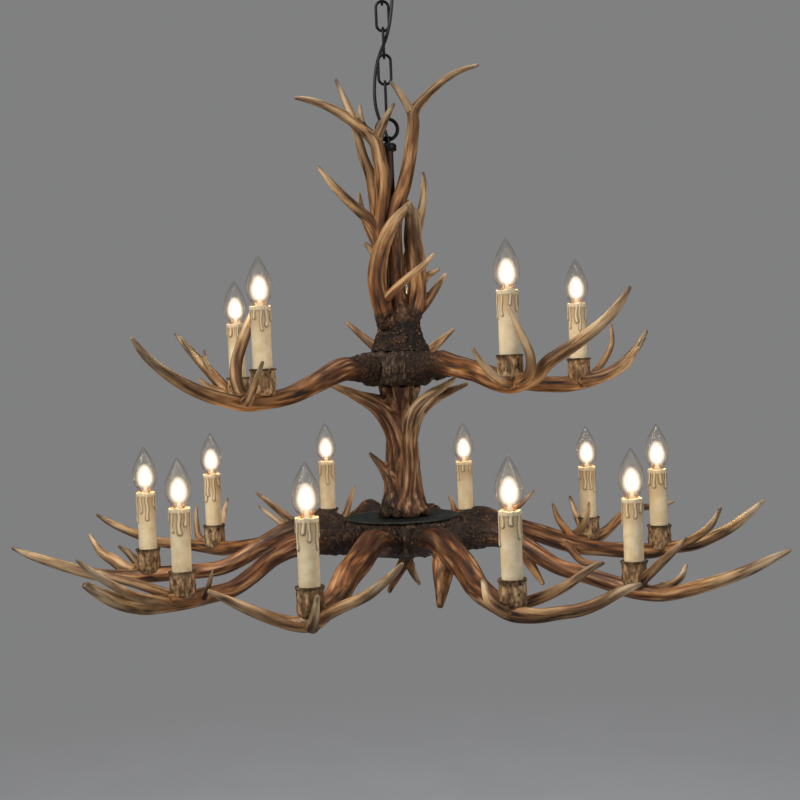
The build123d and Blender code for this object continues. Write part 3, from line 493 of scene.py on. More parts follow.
@dataclass(frozen=True)
class AntlerFinish:
    """Cast antler, painted dark and rough at the root and pale and smooth at the tips.

    It reads what the growth left on the mesh: grain, ripeness, bark and relief.
    From the relief it paints shade into its gutters and highlights onto its ridges.

    Attributes:
        name: The material's name.
        ages: The paint's colours from the root, 0, to the tip, 1.
        gutter_dirt_and_shade: The dark of its gutters, dirt deepened to painted shade.
        band: The colour of its dark streaks.
        crest: The colour of the painted highlight along its raised ridges.
        point: The colour of the very tips.
        crust: The bark's colours from its hollows, 0, to its pearls, 1.
    """

    name: str = "painted_antler"
    ages: Stops = (
        (0.0, (0.060, 0.021, 0.008)), (0.14, (0.150, 0.052, 0.015)),
        (0.34, (0.270, 0.102, 0.028)), (0.54, (0.370, 0.168, 0.056)),
        (0.74, (0.460, 0.260, 0.112)), (0.90, (0.570, 0.390, 0.208)),
        (1.0, (0.630, 0.470, 0.295)),
    )
    gutter_dirt_and_shade: Colour = (0.018, 0.008, 0.005)
    band: Colour = (0.082, 0.031, 0.012)
    crest: Colour = (0.610, 0.400, 0.215)
    point: Colour = (0.065, 0.046, 0.034)
    crust: Stops = (
        (0.0, (0.008, 0.004, 0.003)), (0.44, (0.018, 0.009, 0.005)), (0.64, (0.050, 0.024, 0.011)),
        (0.84, (0.125, 0.060, 0.022)), (1.0, (0.215, 0.112, 0.042)),
    )

    def material(self) -> bpy.types.Material:
        """Build the material."""
        mix = Recipe(self.name)
        grain = mix.attribute("grain", "Vector")
        ripeness, relief = mix.attribute("ripeness"), mix.attribute("relief")
        bark = mix.attribute("bark")
        run = mix.stretched(grain, (1.0, 1.0, 0.09))
        wide, streak = mix.noise(run, 100, 2), mix.noise(run, 220, 3)
        speck, pearl = mix.noise(grain, 500, 3), mix.pearls(grain, 215)
        patch = mix.noise(mix.place(), 22, 2)
        age = ripeness + (patch - 0.5) * 0.45 + (streak - 0.5) * 0.55
        colour = mix.ramp(age, self.ages)
        dark = 1.0 - (wide + (patch - 0.5) * 0.25).between(0.42, 0.55)
        colour = mix.blend(dark * (0.85 - ripeness * 0.30), colour, self.band)
        # Painted highlight: the raised ridges are lightened towards the crest colour.
        ridge_highlight = relief.between(0.55, 0.95) * streak.between(0.48, 0.62)
        colour = mix.blend(ridge_highlight * (0.50 + ripeness * 0.30), colour, self.crest)
        # Painted shade with the dirt: the gutters and the low streaks are darkened towards the
        # gutter colour.
        sunk_dirt_and_shade = (1.0 - relief.between(0.15, 0.75)) + (1.0 - streak.between(0.36, 0.48)) * 0.7
        colour = mix.blend(sunk_dirt_and_shade * (0.95 - ripeness * 0.45), colour, self.gutter_dirt_and_shade)
        colour = mix.blend(ripeness.between(0.955, 1.0) * patch.between(0.40, 0.60) * 0.85,
                           colour, self.point)
        fleck = relief * 0.25 + pearl * 0.50 + speck * 0.45 + (patch - 0.5) * 0.6
        colour = mix.blend(bark, colour, mix.ramp(fleck, self.crust))
        height = streak * (1.0 - ripeness) * 0.25 + bark * (speck + pearl * 1.5)
        return mix.surface({
            "Base Color": colour,
            "Roughness": 0.38 + (1.0 - relief) * 0.16 + bark * 0.14 + ripeness * 0.20,
            "Normal": mix.bump(height, 1.3 * MM, 0.8),
            "Specular IOR Level": 0.28,
        })


@dataclass(frozen=True)
class CrustFinish:
    """Granular bark, near black with golden flecks where it is raised.

    Attributes:
        name: The material's name.
        deep: The colour of its hollows.
        skin: The colour between them.
        fleck: The colour of what stands proud.
        upright: How often its grain repeats upwards for once sideways.
    """

    name: str = "granular_bark"
    deep: Colour = (0.010, 0.006, 0.004)
    skin: Colour = (0.058, 0.026, 0.012)
    fleck: Colour = (0.250, 0.132, 0.054)
    upright: float = 1.0

    def material(self) -> bpy.types.Material:
        """Build the material."""
        mix = Recipe(self.name)
        relief = mix.attribute("relief")
        place = mix.stretched(mix.place(), (1.0, 1.0, self.upright))
        speck, patch = mix.noise(place, 420, 4, 0.65), mix.noise(place, 48, 2)
        pearl = mix.pearls(place, 210)
        raised = relief * 0.20 + pearl * 0.50 + speck * 0.5 + (patch - 0.5) * 0.7
        colour = mix.ramp(raised, (
            (0.0, self.deep), (0.44, self.deep), (0.64, self.skin), (0.86, self.fleck),
            (1.0, self.fleck)))
        return mix.surface({
            "Base Color": colour,
            "Roughness": 0.66 - relief * 0.16,
            "Normal": mix.bump(speck * 0.5 + pearl, 2.2 * MM, 0.9),
            "Specular IOR Level": 0.25,
        })


@dataclass(frozen=True)
class MetalFinish:
    """Painted or plated metal with a fine grain and a slightly rubbed surface.

    Attributes:
        name: The material's name.
        colour: The metal's or its paint's colour.
        rubbed: Its colour where it is rubbed.
        metallic: 0 for paint, 1 for bare metal.
        roughness: How far its highlights spread.
        grain: The depth of its grain in millimetres.
        gloss: How strongly it shines.
    """

    name: str
    colour: Colour
    rubbed: Colour
    metallic: float = 0.0
    roughness: float = 0.4
    grain: float = 0.06
    gloss: float = 0.5

    def material(self) -> bpy.types.Material:
        """Build the material."""
        mix = Recipe(self.name)
        place = mix.place()
        cloud, grit = mix.noise(place, 60, 3), mix.noise(place, 900, 3)
        return mix.surface({
            "Base Color": mix.blend(cloud.between(0.5, 0.75) * 0.6, self.colour, self.rubbed),
            "Metallic": self.metallic,
            "Roughness": self.roughness + (cloud - 0.5) * 0.25 + (grit - 0.5) * 0.08,
            "Normal": mix.bump(grit, self.grain * MM, 0.6),
            "Specular IOR Level": self.gloss,
        })


@dataclass(frozen=True)
class WaxFinish:
    """Ivory candle sleeve, its runs of wax outlined in grey-brown stain and painted shade.

    Attributes:
        name: The material's name.
        body: The wax's colour.
        pale: Its colour where it is clean or raised.
        crease_stain_and_shade: The colour of its creases, a brown stain deepened to painted shade.
        patina: The colour that it has aged to near its top.
    """

    name: str = "ivory_wax"
    body: Colour = (0.720, 0.560, 0.325)
    pale: Colour = (0.830, 0.700, 0.465)
    crease_stain_and_shade: Colour = (0.170, 0.098, 0.046)
    patina: Colour = (0.470, 0.290, 0.125)

    def material(self) -> bpy.types.Material:
        """Build the material."""
        mix = Recipe(self.name)
        crease, raised = mix.attribute("crease"), mix.attribute("raised")
        place = mix.place()
        cloud, grit = mix.noise(place, 70, 3), mix.noise(place, 700, 2)
        colour = mix.blend(cloud.between(0.35, 0.65), self.body, self.pale)
        aged = mix.attribute("aged") * (0.20 + cloud * 0.9) * (1.0 - raised * 0.8)
        colour = mix.blend(aged, colour, self.patina)
        colour = mix.blend(raised * 0.5, colour, self.pale)
        # Painted shade with the stain: the creases along the runs and under the lip are darkened.
        colour = mix.blend(crease * (0.55 + grit * 0.7), colour, self.crease_stain_and_shade)
        return mix.surface({
            "Base Color": colour,
            "Roughness": 0.42 + crease * 0.2 + (cloud - 0.5) * 0.1,
            "Normal": mix.bump(cloud * 0.6 + grit * 0.25, 0.3 * MM, 0.5),
            "Specular IOR Level": 0.4,
        })


@dataclass(frozen=True)
class GlassFinish:
    """Thin clear glass, seen at its rims and highlights.

    Attributes:
        name: The material's name.
        tint: The colour of what shows through it.
        sheen: The colour that its surface scatters.
        brass_reflection: The painted reflection of the brass base, at the bulb's neck.
        roughness: How far its highlights spread.
    """

    name: str = "clear_glass"
    tint: Colour = (0.95, 0.95, 0.94)
    sheen: Colour = (0.055, 0.055, 0.055)
    brass_reflection: Colour = (0.30, 0.14, 0.05)
    roughness: float = 0.09

    def material(self) -> bpy.types.Material:
        """Build the material."""
        mix = Recipe(self.name)
        facing = mix.node("ShaderNodeLayerWeight", {}, {"Blend": 0.5}, "Facing")
        ripple = mix.noise(mix.place(), 90, 2)
        neck = mix.attribute("neck")
        clear = mix.node("ShaderNodeBsdfTransparent", {}, {"Color": (*self.tint, 1.0)})
        # Painted reflection: at its neck the glass is tinted towards the brass and shows more of
        # its surface.
        glossy = mix.node("ShaderNodeBsdfPrincipled", {}, {
            "Base Color": mix.blend(neck, self.sheen, self.brass_reflection), "Roughness": self.roughness,
            "Specular IOR Level": 0.8, "Normal": mix.bump(ripple, 0.2 * MM, 0.2)})
        shell = mix.node("ShaderNodeMixShader", {}, {
            0: 0.08 + (facing ** 3.0) * 0.80 + neck * 0.25, 1: clear, 2: glossy})
        return mix.close(shell)


@dataclass(frozen=True)
class GlowFinish:
    """Lit filament, white at its heart, with an even or a fading edge.

    Attributes:
        name: The material's name.
        heart: The colour where it faces the eye.
        fringe: The colour at its edge.
        strength: How strongly it shines.
        fading: Whether its edge fades away.
    """

    name: str
    heart: Colour
    fringe: Colour
    strength: float
    fading: bool = False

    def material(self) -> bpy.types.Material:
        """Build the material."""
        mix = Recipe(self.name)
        facing = mix.node("ShaderNodeLayerWeight", {}, {"Blend": 0.5}, "Facing")
        shimmer = mix.noise(mix.place(), 160, 2)
        heat = (1.0 - facing) + (shimmer - 0.5) * 0.15
        light = mix.node("ShaderNodeEmission", {}, {
            "Color": mix.blend(heat.between(0.35, 0.88), self.fringe, self.heart),
            "Strength": self.strength})
        if not self.fading:
            return mix.close(light)
        clear = mix.node("ShaderNodeBsdfTransparent")
        return mix.close(mix.node("ShaderNodeMixShader", {}, {
            0: heat.between(0.0, 0.95) ** 3.6, 1: clear, 2: light}))


@dataclass(frozen=True)
class PlainFinish:
    """Moulded plastic, rubber or bare wood with a fine grain.

    Attributes:
        name: The material's name.
        colour: Its main colour.
        shade: Its colour in the grain.
        roughness: How far its highlights spread.
        scale: How fine the grain is, in features per metre.
        stretch: How the grain is scaled on each axis.
    """

    name: str
    colour: Colour
    shade: Colour
    roughness: float = 0.5
    scale: float = 300.0
    stretch: Triple = (1.0, 1.0, 1.0)

    def material(self) -> bpy.types.Material:
        """Build the material."""
        mix = Recipe(self.name)
        grit = mix.noise(mix.stretched(mix.place(), self.stretch), self.scale, 3)
        return mix.surface({
            "Base Color": mix.blend(grit.between(0.3, 0.7), self.shade, self.colour),
            "Roughness": self.roughness + (grit - 0.5) * 0.15,
            "Normal": mix.bump(grit, 0.15 * MM, 0.5),
        })


Finish = Union[AntlerFinish, CrustFinish, MetalFinish, WaxFinish, GlassFinish, GlowFinish,
               PlainFinish]

ANTLER = AntlerFinish()
# The trunk's crest colour is the painted highlight on the ridges of its flutes.
FLUTED = AntlerFinish(
    "fluted_trunk",
    ages=((0.0, (0.046, 0.017, 0.008)), (0.25, (0.130, 0.048, 0.018)),
          (0.5, (0.270, 0.115, 0.043)), (0.75, (0.430, 0.265, 0.132)),
          (1.0, (0.600, 0.450, 0.290))),
    band=(0.050, 0.021, 0.011), crest=(0.600, 0.440, 0.280))
CRUST = CrustFinish()
DRUM = CrustFinish(
    "ribbed_bark", deep=(0.024, 0.014, 0.009), skin=(0.085, 0.052, 0.035),
    fleck=(0.150, 0.100, 0.070), upright=0.4)
BLACK_METAL = MetalFinish(
    "black_metal", (0.005, 0.005, 0.006), rubbed=(0.014, 0.013, 0.013), roughness=0.36, gloss=0.25)
PLATE_METAL = MetalFinish(
    "plate_metal", (0.034, 0.040, 0.037), rubbed=(0.085, 0.095, 0.088), metallic=0.4,
    roughness=0.30)
BROWN_METAL = MetalFinish(
    "brown_metal", (0.040, 0.018, 0.010), rubbed=(0.100, 0.045, 0.022), roughness=0.45, gloss=0.3)
STEEL = MetalFinish(
    "plated_steel", (0.56, 0.55, 0.52), rubbed=(0.40, 0.39, 0.36), metallic=1.0, roughness=0.32)
BRASS = MetalFinish(
    "brass", (0.62, 0.43, 0.17), rubbed=(0.42, 0.26, 0.10), metallic=1.0, roughness=0.30)
WAX = WaxFinish()
GLASS = GlassFinish()
GLOW = GlowFinish("lit_filament", (1.0, 0.93, 0.78), (1.0, 0.80, 0.48), strength=9.0)
HALO = GlowFinish(
    "filament_glare", (1.0, 0.95, 0.82), (1.0, 0.60, 0.28), strength=1.55, fading=True)
# The glass stem is no lamp: its glow is painted light from the filament.
LIT_GLASS = GlowFinish("lit_glass_stem", (1.0, 0.84, 0.56), (0.95, 0.60, 0.28), strength=1.15)
BLACK_PLASTIC = PlainFinish(
    "black_plastic", (0.022, 0.021, 0.020), (0.012, 0.012, 0.012), roughness=0.45)
WHITE_PLASTIC = PlainFinish(
    "white_plastic", (0.78, 0.77, 0.73), (0.66, 0.65, 0.61), roughness=0.45)
CORD_RUBBER = PlainFinish("black_cord", (0.008, 0.008, 0.008), (0.004, 0.004, 0.004), scale=600)
DOWEL_WOOD = PlainFinish(
    "beech_dowel", (0.52, 0.36, 0.20), (0.38, 0.24, 0.12), roughness=0.6, scale=260,
    stretch=(1.0, 1.0, 0.2))


# Shapes


def smooth_run(points: Limb, step: float) -> list[tuple[Vector, float]]:
    """Thread a smooth line through points, its radius changing on the way.

    Args:
        points: (x, y, z, radius) of each point.
        step: About how far apart the line's own points are.

    Returns:
        The line's points with their radii.
    """
    knots = [Vector(point) for point in points]
    chain = [knots[0] * 2 - knots[1], *knots, knots[-1] * 2 - knots[-2]]
    line = []
    for a, b, c, d in zip(chain, chain[1:], chain[2:], chain[3:]):
        t1 = (b.xyz - a.xyz).length ** 0.5
        t2 = t1 + (c.xyz - b.xyz).length ** 0.5
        t3 = t2 + (d.xyz - c.xyz).length ** 0.5
        count = max(1, round((c.xyz - b.xyz).length / step))
        for index in range(count):
            t = t1 + (t2 - t1) * index / count
            ab, bc = a.lerp(b, t / t1), b.lerp(c, (t - t1) / (t2 - t1))
            cd = c.lerp(d, (t - t2) / (t3 - t2))
            near, far = ab.lerp(bc, t / t2), bc.lerp(cd, (t - t1) / (t3 - t1))
            spot = near.lerp(far, (t - t1) / (t2 - t1))
            line.append((spot.xyz, spot.w))
    line.append((knots[-1].xyz, knots[-1].w))
    return line


def frames_along(spots: Sequence[Vector], closed: bool = False) -> list[Matrix]:
    """Give each spot of a line a frame whose Z axis follows the line, without twist.

    Args:
        spots: The line's points.
        closed: Whether the last one leads back to the first.

    Returns:
        The frames.
    """
    last = len(spots) - 1
    across = Vector((0.31, 0.17, 0.94))
    frames = []
    for index, spot in enumerate(spots):
        before = spots[index - 1] if closed or index else spot
        after = spots[(index + 1) % len(spots)] if closed or index < last else spot
        ahead = (after - before).normalized()
        across = (across - ahead * across.dot(ahead)).normalized()
        frame = Matrix((across, ahead.cross(across), ahead)).transposed().to_4x4()
        frame.translation = spot
        frames.append(frame)
    return frames


def lay_tube(shell: bmesh.types.BMesh, line: Sequence[tuple[Vector, float]], sides: int,
             closed: bool = False) -> list[Matrix]:
    """Lay hoops along a line, bridge them, and cap the ends of an open one.

    Args:
        shell: What the tube is added to.
        line: The points of its middle line, with its radius at each.
        sides: How many sides it has.
        closed: Whether its end leads back to its start.

    Returns:
        The frames of the hoops.
    """
    frames = frames_along([spot for spot, _ in line], closed)
    hoops = []
    for frame, (_, radius) in zip(frames, line):
        hoop = bmesh.ops.create_circle(shell, segments=sides, radius=radius, matrix=frame)
        hoops.append(list(dict.fromkeys(
            edge for vert in hoop["verts"] for edge in vert.link_edges)))
    for near, far in zip(hoops, hoops[1:] + hoops[:1] if closed else hoops[1:]):
        bmesh.ops.bridge_loops(shell, edges=near + far)
    if not closed:
        for hoop in hoops[0], hoops[-1]:
            bmesh.ops.contextual_create(shell, geom=hoop)
    return frames


def turn(shell: bmesh.types.BMesh, profile: Profile, middle: Vector, segments: int,
         closed: bool = False) -> None:
    """Spin a profile round an upright axis.

    Args:
        shell: What the turned shape is added to.
        profile: Its (radius, up) points.
        middle: The spot on the axis that they count from.
        segments: How many steps the turn has.
        closed: Whether the profile's last point joins its first.
    """
    verts = [shell.verts.new(middle + Vector((radius, 0.0, up))) for radius, up in profile]
    pairs = list(zip(verts, verts[1:])) + ([(verts[-1], verts[0])] if closed else [])
    edges = [shell.edges.new(pair) for pair in pairs]
    bmesh.ops.spin(shell, geom=verts + edges, cent=middle, axis=(0, 0, 1), dvec=(0, 0, 0),
                   angle=FULL_TURN, steps=segments, use_merge=True, use_duplicate=False)
    bmesh.ops.remove_doubles(shell, verts=shell.verts, dist=1e-6)


def finish_mesh(name: str, shell: bmesh.types.BMesh) -> bpy.types.Mesh:
    """Point a shell's faces outwards and store it as a mesh.

    Args:
        name: The mesh's name.
        shell: The finished shell, which is freed.

    Returns:
        The mesh.
    """
    bmesh.ops.recalc_face_normals(shell, faces=shell.faces)
    mesh = bpy.data.meshes.new(name)
    shell.to_mesh(mesh)
    shell.free()
    return mesh


def millimetres(profile: Profile) -> list[tuple[float, float]]:
    """Turn a profile in millimetres into metres."""
    return [(radius * MM, up * MM) for radius, up in profile]


def heights(node: str) -> tuple[float, float]:
    """Give the lowest and the highest point of a CAD node in millimetres."""
    low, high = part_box(node)
    return low.z / MM, high.z / MM


def rounded(profile: Profile, step: float) -> list[tuple[float, float]]:
    """Smooth a profile of (radius, up) points into many."""
    line = smooth_run([(radius, 0.0, up, 0.0) for radius, up in profile], step)
    return [(max(0.0, spot.x), spot.z) for spot, _ in line]


def turned_mesh(name: str, profile: Profile, middle: Vector, segments: int = 48,
                closed: bool = False) -> bpy.types.Mesh:
    """Spin a profile into a mesh of its own.

    Args:
        name: The mesh's name.
        profile: Its (radius, up) points.
        middle: The spot on the axis that they count from.
        segments: How many steps the turn has.
        closed: Whether the profile's last point joins its first.

    Returns:
        The mesh.
    """
    shell = bmesh.new()
    turn(shell, profile, middle, segments, closed)
    return finish_mesh(name, shell)


def ease(value: float, low: float, high: float) -> float:
    """Rise smoothly from 0 at low to 1 at high."""
    t = min(1.0, max(0.0, (value - low) / (high - low)))
    return t * t * (3 - 2 * t)


def valley(place: Vector, width: float) -> float:
    """Give 0 along the winding lines of a noise, and 1 away from them."""
    return min(1.0, abs(noise.noise(place)) / width)


def spread(values: np.ndarray, edges: np.ndarray, rounds: int) -> np.ndarray:
    """Even numbers out along a mesh's edges, a little in each round.

    Args:
        values: One number for each vertex.
        edges: The vertices of each edge, in a row.
        rounds: How many rounds there are.

    Returns:
        The evened numbers.
    """
    near, far, count = edges[0::2], edges[1::2], len(values)
    ties = np.maximum(np.bincount(near, None, count) + np.bincount(far, None, count), 1)
    for _ in range(rounds):
        total = np.bincount(near, values[far], count) + np.bincount(far, values[near], count)
        values = 0.4 * values + 0.6 * total / ties
    return values


def keep(mesh: bpy.types.Mesh, values: dict[str, Sequence[float]], grain: Sequence[float] = ()
         ) -> None:
    """Store what the finish reads as the mesh's attributes.

    Args:
        mesh: The mesh.
        values: Lists of one number for each vertex, by the attribute's name.
        grain: The places in the grain of the vertices, as their coordinates in a row.
    """
    for name, numbers in values.items():
        mesh.attributes.new(name, "FLOAT", "POINT").data.foreach_set("value", numbers)
    if len(grain):
        mesh.attributes.new("grain", "FLOAT_VECTOR", "POINT").data.foreach_set("vector", grain)


class Bench:
    """Where each finished mesh becomes a piece of the scene.

    Attributes:
        shadow_offsets: How far shadows are kept off the facets of a smooth surface, by place
            and by angle, so that small lamps leave no bright specks on it.
    """

    shadow_offsets = 0.4, 0.25

    def __init__(self, frame: dict) -> None:
        """Start with no pieces and no materials.

        Args:
            frame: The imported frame.
        """
        self.frame = frame
        self.finishes: dict[Finish, bpy.types.Material] = {}
        self.count = 0

    def finish(self, finish: Finish) -> bpy.types.Material:
        """Build a finish once, and give it again after that."""
        if finish not in self.finishes:
            self.finishes[finish] = finish.material()
        return self.finishes[finish]

    def show(self, mesh: bpy.types.Mesh, finish: Finish, sharp: float) -> bpy.types.Object:
        """Put a mesh in the scene, smooth between its sharp edges, and dress it.

        Args:
            mesh: The finished mesh, whose name the piece takes.
            finish: The finish that dresses it.
            sharp: The angle in degrees past which an edge stays sharp.

        Returns:
            The piece.
        """
        piece = bpy.data.objects.new(mesh.name, mesh)
        bpy.context.scene.collection.objects.link(piece)
        mesh.shade_smooth()
        mesh.set_sharp_from_angle(angle=math.radians(sharp))
        mesh.materials.append(self.finish(finish))
        self.count += 1
        return piece

    def hand_over(self, mesh: bpy.types.Mesh, finish: Finish, body: str, slot: Slot,
                  *stands_for: str, sharp: float = 40.0) -> bpy.types.Object:
        """Make a mesh a piece of the object.

        Args:
            mesh: The finished mesh, whose name the piece takes.
            finish: The finish that dresses it.
            body: The CAD body that it rides on.
            slot: The record's material slot; not used.
            stands_for: The CAD nodes that it replaces.
            sharp: The angle in degrees past which an edge stays sharp.

        Returns:
            The piece.
        """
        piece = self.show(mesh, finish, sharp)
        by_place, by_angle = self.shadow_offsets
        piece.shadow_terminator_geometry_offset = by_place
        piece.shadow_terminator_shading_offset = by_angle
        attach(piece, body)
        if stands_for:
            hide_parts(*stands_for)
        LOG.info("%s rides on %s, %d faces", piece.name, body, len(mesh.polygons))
        return piece

    def dress(self, node: str, finish: Finish) -> None:
        """Give a CAD node that stays its finish.

        Args:
            node: The node.
            finish: The finish that dresses it.
        """
        piece = self.frame["nodes"][node]
        piece.data.materials.clear()
        piece.data.materials.append(self.finish(finish))
        LOG.info("%s keeps its CAD shape", node)


# Antler growths

# The sides of a beam's and a tine's tube, and about how far apart its hoops are
BEAM_SIDES, TINE_SIDES, HOOP_STEP = 16, 10, 5 * MM
# How many bones near a spot on the skin are compared
NEAR_BONES = 8
# The angle in degrees past which an edge of a grown skin stays sharp
GROWN_EDGE = 120.0


@dataclass(frozen=True)
class Relief:
    """How deeply a growth's surface is worked, in metres.

    Attributes:
        gutter: The depth of the gutters that run along it.
        pearl: The height of the pearls on its bark.
        lump: The height of the lumps under them.
        burr: How far the burr at its root stands proud.
        swell: How far the whole skin is raised.
        flutes: How many flutes part it all round.
        flute_depth: The depth of each.
    """

    gutter: float = 0.9 * MM
    pearl: float = 1.5 * MM
    lump: float = 1.8 * MM
    burr: float = 0.0
    swell: float = 0.7 * MM
    flutes: int = 0
    flute_depth: float = 0.0


@dataclass
class Bone:
    """A spot on a limb's middle line, with what the surface round it takes.

    Attributes:
        frame: Where it is, its Z axis along the limb.
        inverse: The way back from there.
        radius: How thick the limb is.
        along: How far it is from the limb's root.
        ripeness: How pale and smooth the skin is, from 0 to 1.
        bark: How much bark is on it, from 0 to 1.
        shift: What sets the limb's grain apart from that of others.
        hold: How much closer than others it has to be, to give its look.
    """

    frame: Matrix
    inverse: Matrix
    radius: float
    along: float
    ripeness: float
    bark: float
    shift: Vector
    hold: float = 0.0


@dataclass
class Growth:
    """A grown piece: limbs that merge into one skin, which is then grooved and pearled.

    Attributes:
        name: The piece's name.
        relief: How deeply its surface is worked.
        bark_reach: How far the dark bark runs up the first limb.
        young: How ripe the first limb is at its root, from 0 to 1.
        old: How ripe it is at its tip.
        skin: The size of a facet.
        melt: How often the skin is softened, which melts the limbs together where they meet.
        bones: What each limb's middle line leaves for the surface.
    """

    name: str
    relief: Relief = field(default_factory=Relief)
    bark_reach: float = 0.0
    young: float = 0.0
    old: float = 1.0
    skin: float = 1.5 * MM
    melt: int = 5
    bones: list[Bone] = field(default_factory=list)

    def __post_init__(self) -> None:
        """Start with an empty shell, and random draws that depend on the name alone."""
        self.shell = bmesh.new()
        self.draws = random.Random(self.name)

    def add_limb(self, points: Limb, sides: int, ripe: tuple[float, float] | None = None,
                 cling: float = 2.5) -> None:
        """Grow one limb.

        Args:
            points: Its (x, y, z, radius) points in metres.
            sides: How many sides its tube has before it is skinned.
            ripe: How ripe it is at its root and tip, if that isn't worked out.
            cling: For how many times its thickness it still takes the look of what it leaves.
        """
        line = smooth_run(points, HOOP_STEP)
        frames = lay_tube(self.shell, line, sides)
        first, parent_bark = not self.bones, 0.0
        if ripe:
            start, end = ripe
        elif first:
            start, end = self.young, self.old
        else:
            near = min(self.bones, key=lambda bone: (bone.frame.translation - line[0][0]).length)
            start, end = near.ripeness, min(near.ripeness + 0.6, self.old)
            parent_bark = 0.5 * near.bark
        runs = [(b - a).length for (a, _), (b, _) in zip(line, line[1:])]
        total, along = sum(runs), 0.0
        shift = Vector([self.draws.uniform(-1, 1) for _ in range(3)])
        for frame, (_, radius), run in zip(frames, line, [*runs, 0.0]):
            share = along / total
            if not first:
                bark = parent_bark * (1.0 - share)
            elif self.bark_reach:
                bark = 1.0 - ease(along, self.bark_reach * 0.75, self.bark_reach * 1.15 + MM)
            else:
                bark = 0.0
            ripened = share ** (1.5 if first else 0.8)
            hold = 0.0 if first else 0.7 * (1.0 - ease(along, 0.0, cling * line[0][1]))
            self.bones.append(Bone(frame, frame.inverted(), radius, along,
                                   start + (end - start) * ripened, bark, shift, hold))
            along += run

    def add_turned(self, profile: Profile, radius: float, middle_x: float = 0.0) -> None:
        """Turn a drum, and give its surface an upright grain.

        Args:
            profile: Its (radius, up) points in metres.
            radius: About how far its surface is from its axis.
            middle_x: Where its axis stands.
        """
        turn(self.shell, profile, Vector((middle_x, 0, 0)), 48)
        low, high, steps = profile[0][1], profile[-1][1], 12
        for step in range(steps + 1):
            up = low + (high - low) * step / steps
            frame = Matrix.Translation((middle_x, 0, up))
            self.bones.append(Bone(frame, frame.inverted(), radius, up - low, 0.0, 1.0, ORIGIN))

    def _skinned(self) -> bpy.types.Mesh:
        """Merge the limbs into one even skin."""
        raw = finish_mesh(self.name + "_raw", self.shell)
        carrier = bpy.data.objects.new(raw.name, raw)
        bpy.context.scene.collection.objects.link(carrier)
        remesh = carrier.modifiers.new("skin", "REMESH")
        remesh.mode = "VOXEL"
        remesh.voxel_size = self.skin * 1.0
        soften = carrier.modifiers.new("soften", "SMOOTH")
        soften.factor, soften.iterations = 0.5, self.melt
        graph = bpy.context.evaluated_depsgraph_get()
        mesh = bpy.data.meshes.new_from_object(carrier.evaluated_get(graph))
        mesh.name = self.name
        bpy.data.objects.remove(carrier)
        bpy.data.meshes.remove(raw)
        return mesh

    def _height(self, bone: Bone, grain: Vector, turned: float) -> tuple[float, float]:
        """Work the surface at one place on the skin.

        Args:
            bone: The bone that it belongs to.
            grain: The place in the limb's grain.
            turned: How far round the limb it is, as an angle.

        Returns:
            How far it is raised, and its relief from 0, sunk, to 1, raised.
        """
        run = Vector((grain.x, grain.y, grain.z * 0.085))
        wide, fine = valley(run * 95, 0.34), valley(run * 230 + bone.shift, 0.42)
        relief = 0.62 * wide + 0.38 * fine
        slender = min(1.0, bone.radius / (12 * MM))
        height = (relief - 0.8) * self.relief.gutter * slender * (1.0 - 0.75 * bone.ripeness)
        crust = bone.bark + 0.25 * ease(0.35 - bone.ripeness, 0.0, 0.35)
        if crust > 0.01:
            pearl = 0.75 - 1.6 * noise.voronoi(grain * 170)[0][0] + 0.3 * noise.noise(grain * 520)
            lump = noise.noise(Vector((grain.x, grain.y, grain.z * 0.6)) * 85 + bone.shift)
            height += crust * (self.relief.pearl * pearl + self.relief.lump * lump)
            relief += crust * (0.45 + pearl * 0.55 + lump * 0.3 - relief)
        if self.relief.burr:
            swell = math.exp(-(((grain.z - bone.shift.z) - 9 * MM) / (5 * MM)) ** 2)
            height += swell * self.relief.burr * (0.4 + noise.noise(grain * 210))
        if self.relief.flutes:
            sway = noise.noise(Vector((math.cos(turned), math.sin(turned), grain.z * 9)) * 1.2)
            phase = (turned / FULL_TURN * self.relief.flutes + sway * 0.8) % 1.0
            crest = ease(abs(phase - 0.5) * 2, 0.0, 0.75)
            height += (crest - 0.85) * self.relief.flute_depth * slender
            relief = relief * 0.45 + crest * 0.55
        return height, min(1.0, max(0.0, relief))

    def _bone_at(self, tree: kdtree.KDTree, spot: Vector) -> Bone:
        """Find the bone at whose own thickness a spot on the skin lies best."""
        near = (self.bones[index] for _, index, _ in tree.find_n(spot, NEAR_BONES))
        return min(near, key=lambda bone: bone.hold + abs(
            (bone.frame.translation - spot).length / bone.radius - 1.0))

    def mesh(self) -> bpy.types.Mesh:
        """Skin the limbs, work the surface, and store what the finish reads."""
        mesh = self._skinned()
        count = len(mesh.vertices)
        spots, normals = np.empty(count * 3, np.float32), np.empty(count * 3, np.float32)
        mesh.vertices.foreach_get("co", spots)
        mesh.vertices.foreach_get("normal", normals)
        tree = kdtree.KDTree(len(self.bones))
        for index, bone in enumerate(self.bones):
            tree.insert(bone.frame.translation, index)
        tree.balance()
        grains = np.empty(count * 3, np.float32)
        rounds = {"ripeness": 14, "bark": 8, "relief": 1, "height": 1}
        found = {name: np.empty(count) for name in rounds}
        for index in range(count):
            here = slice(index * 3, index * 3 + 3)
            spot = Vector(spots[here])
            bone = self._bone_at(tree, spot)
            place = bone.inverse @ spot
            grain = Vector((place.x, place.y, bone.along + place.z)) + bone.shift
            height, relief = self._height(bone, grain, math.atan2(place.y, place.x))
            grains[here] = grain
            for name, value in zip(found, (bone.ripeness, bone.bark, relief, height)):
                found[name][index] = value
        edges = np.empty(len(mesh.edges) * 2, np.int32)
        mesh.edges.foreach_get("vertices", edges)
        for name, times in rounds.items():
            found[name] = spread(found[name], edges, times).astype(np.float32)
        height = found.pop("height") + self.relief.swell
        mesh.vertices.foreach_set("co", spots + normals * np.repeat(height, 3))
        keep(mesh, found, grains)
        mesh.update()
        return mesh


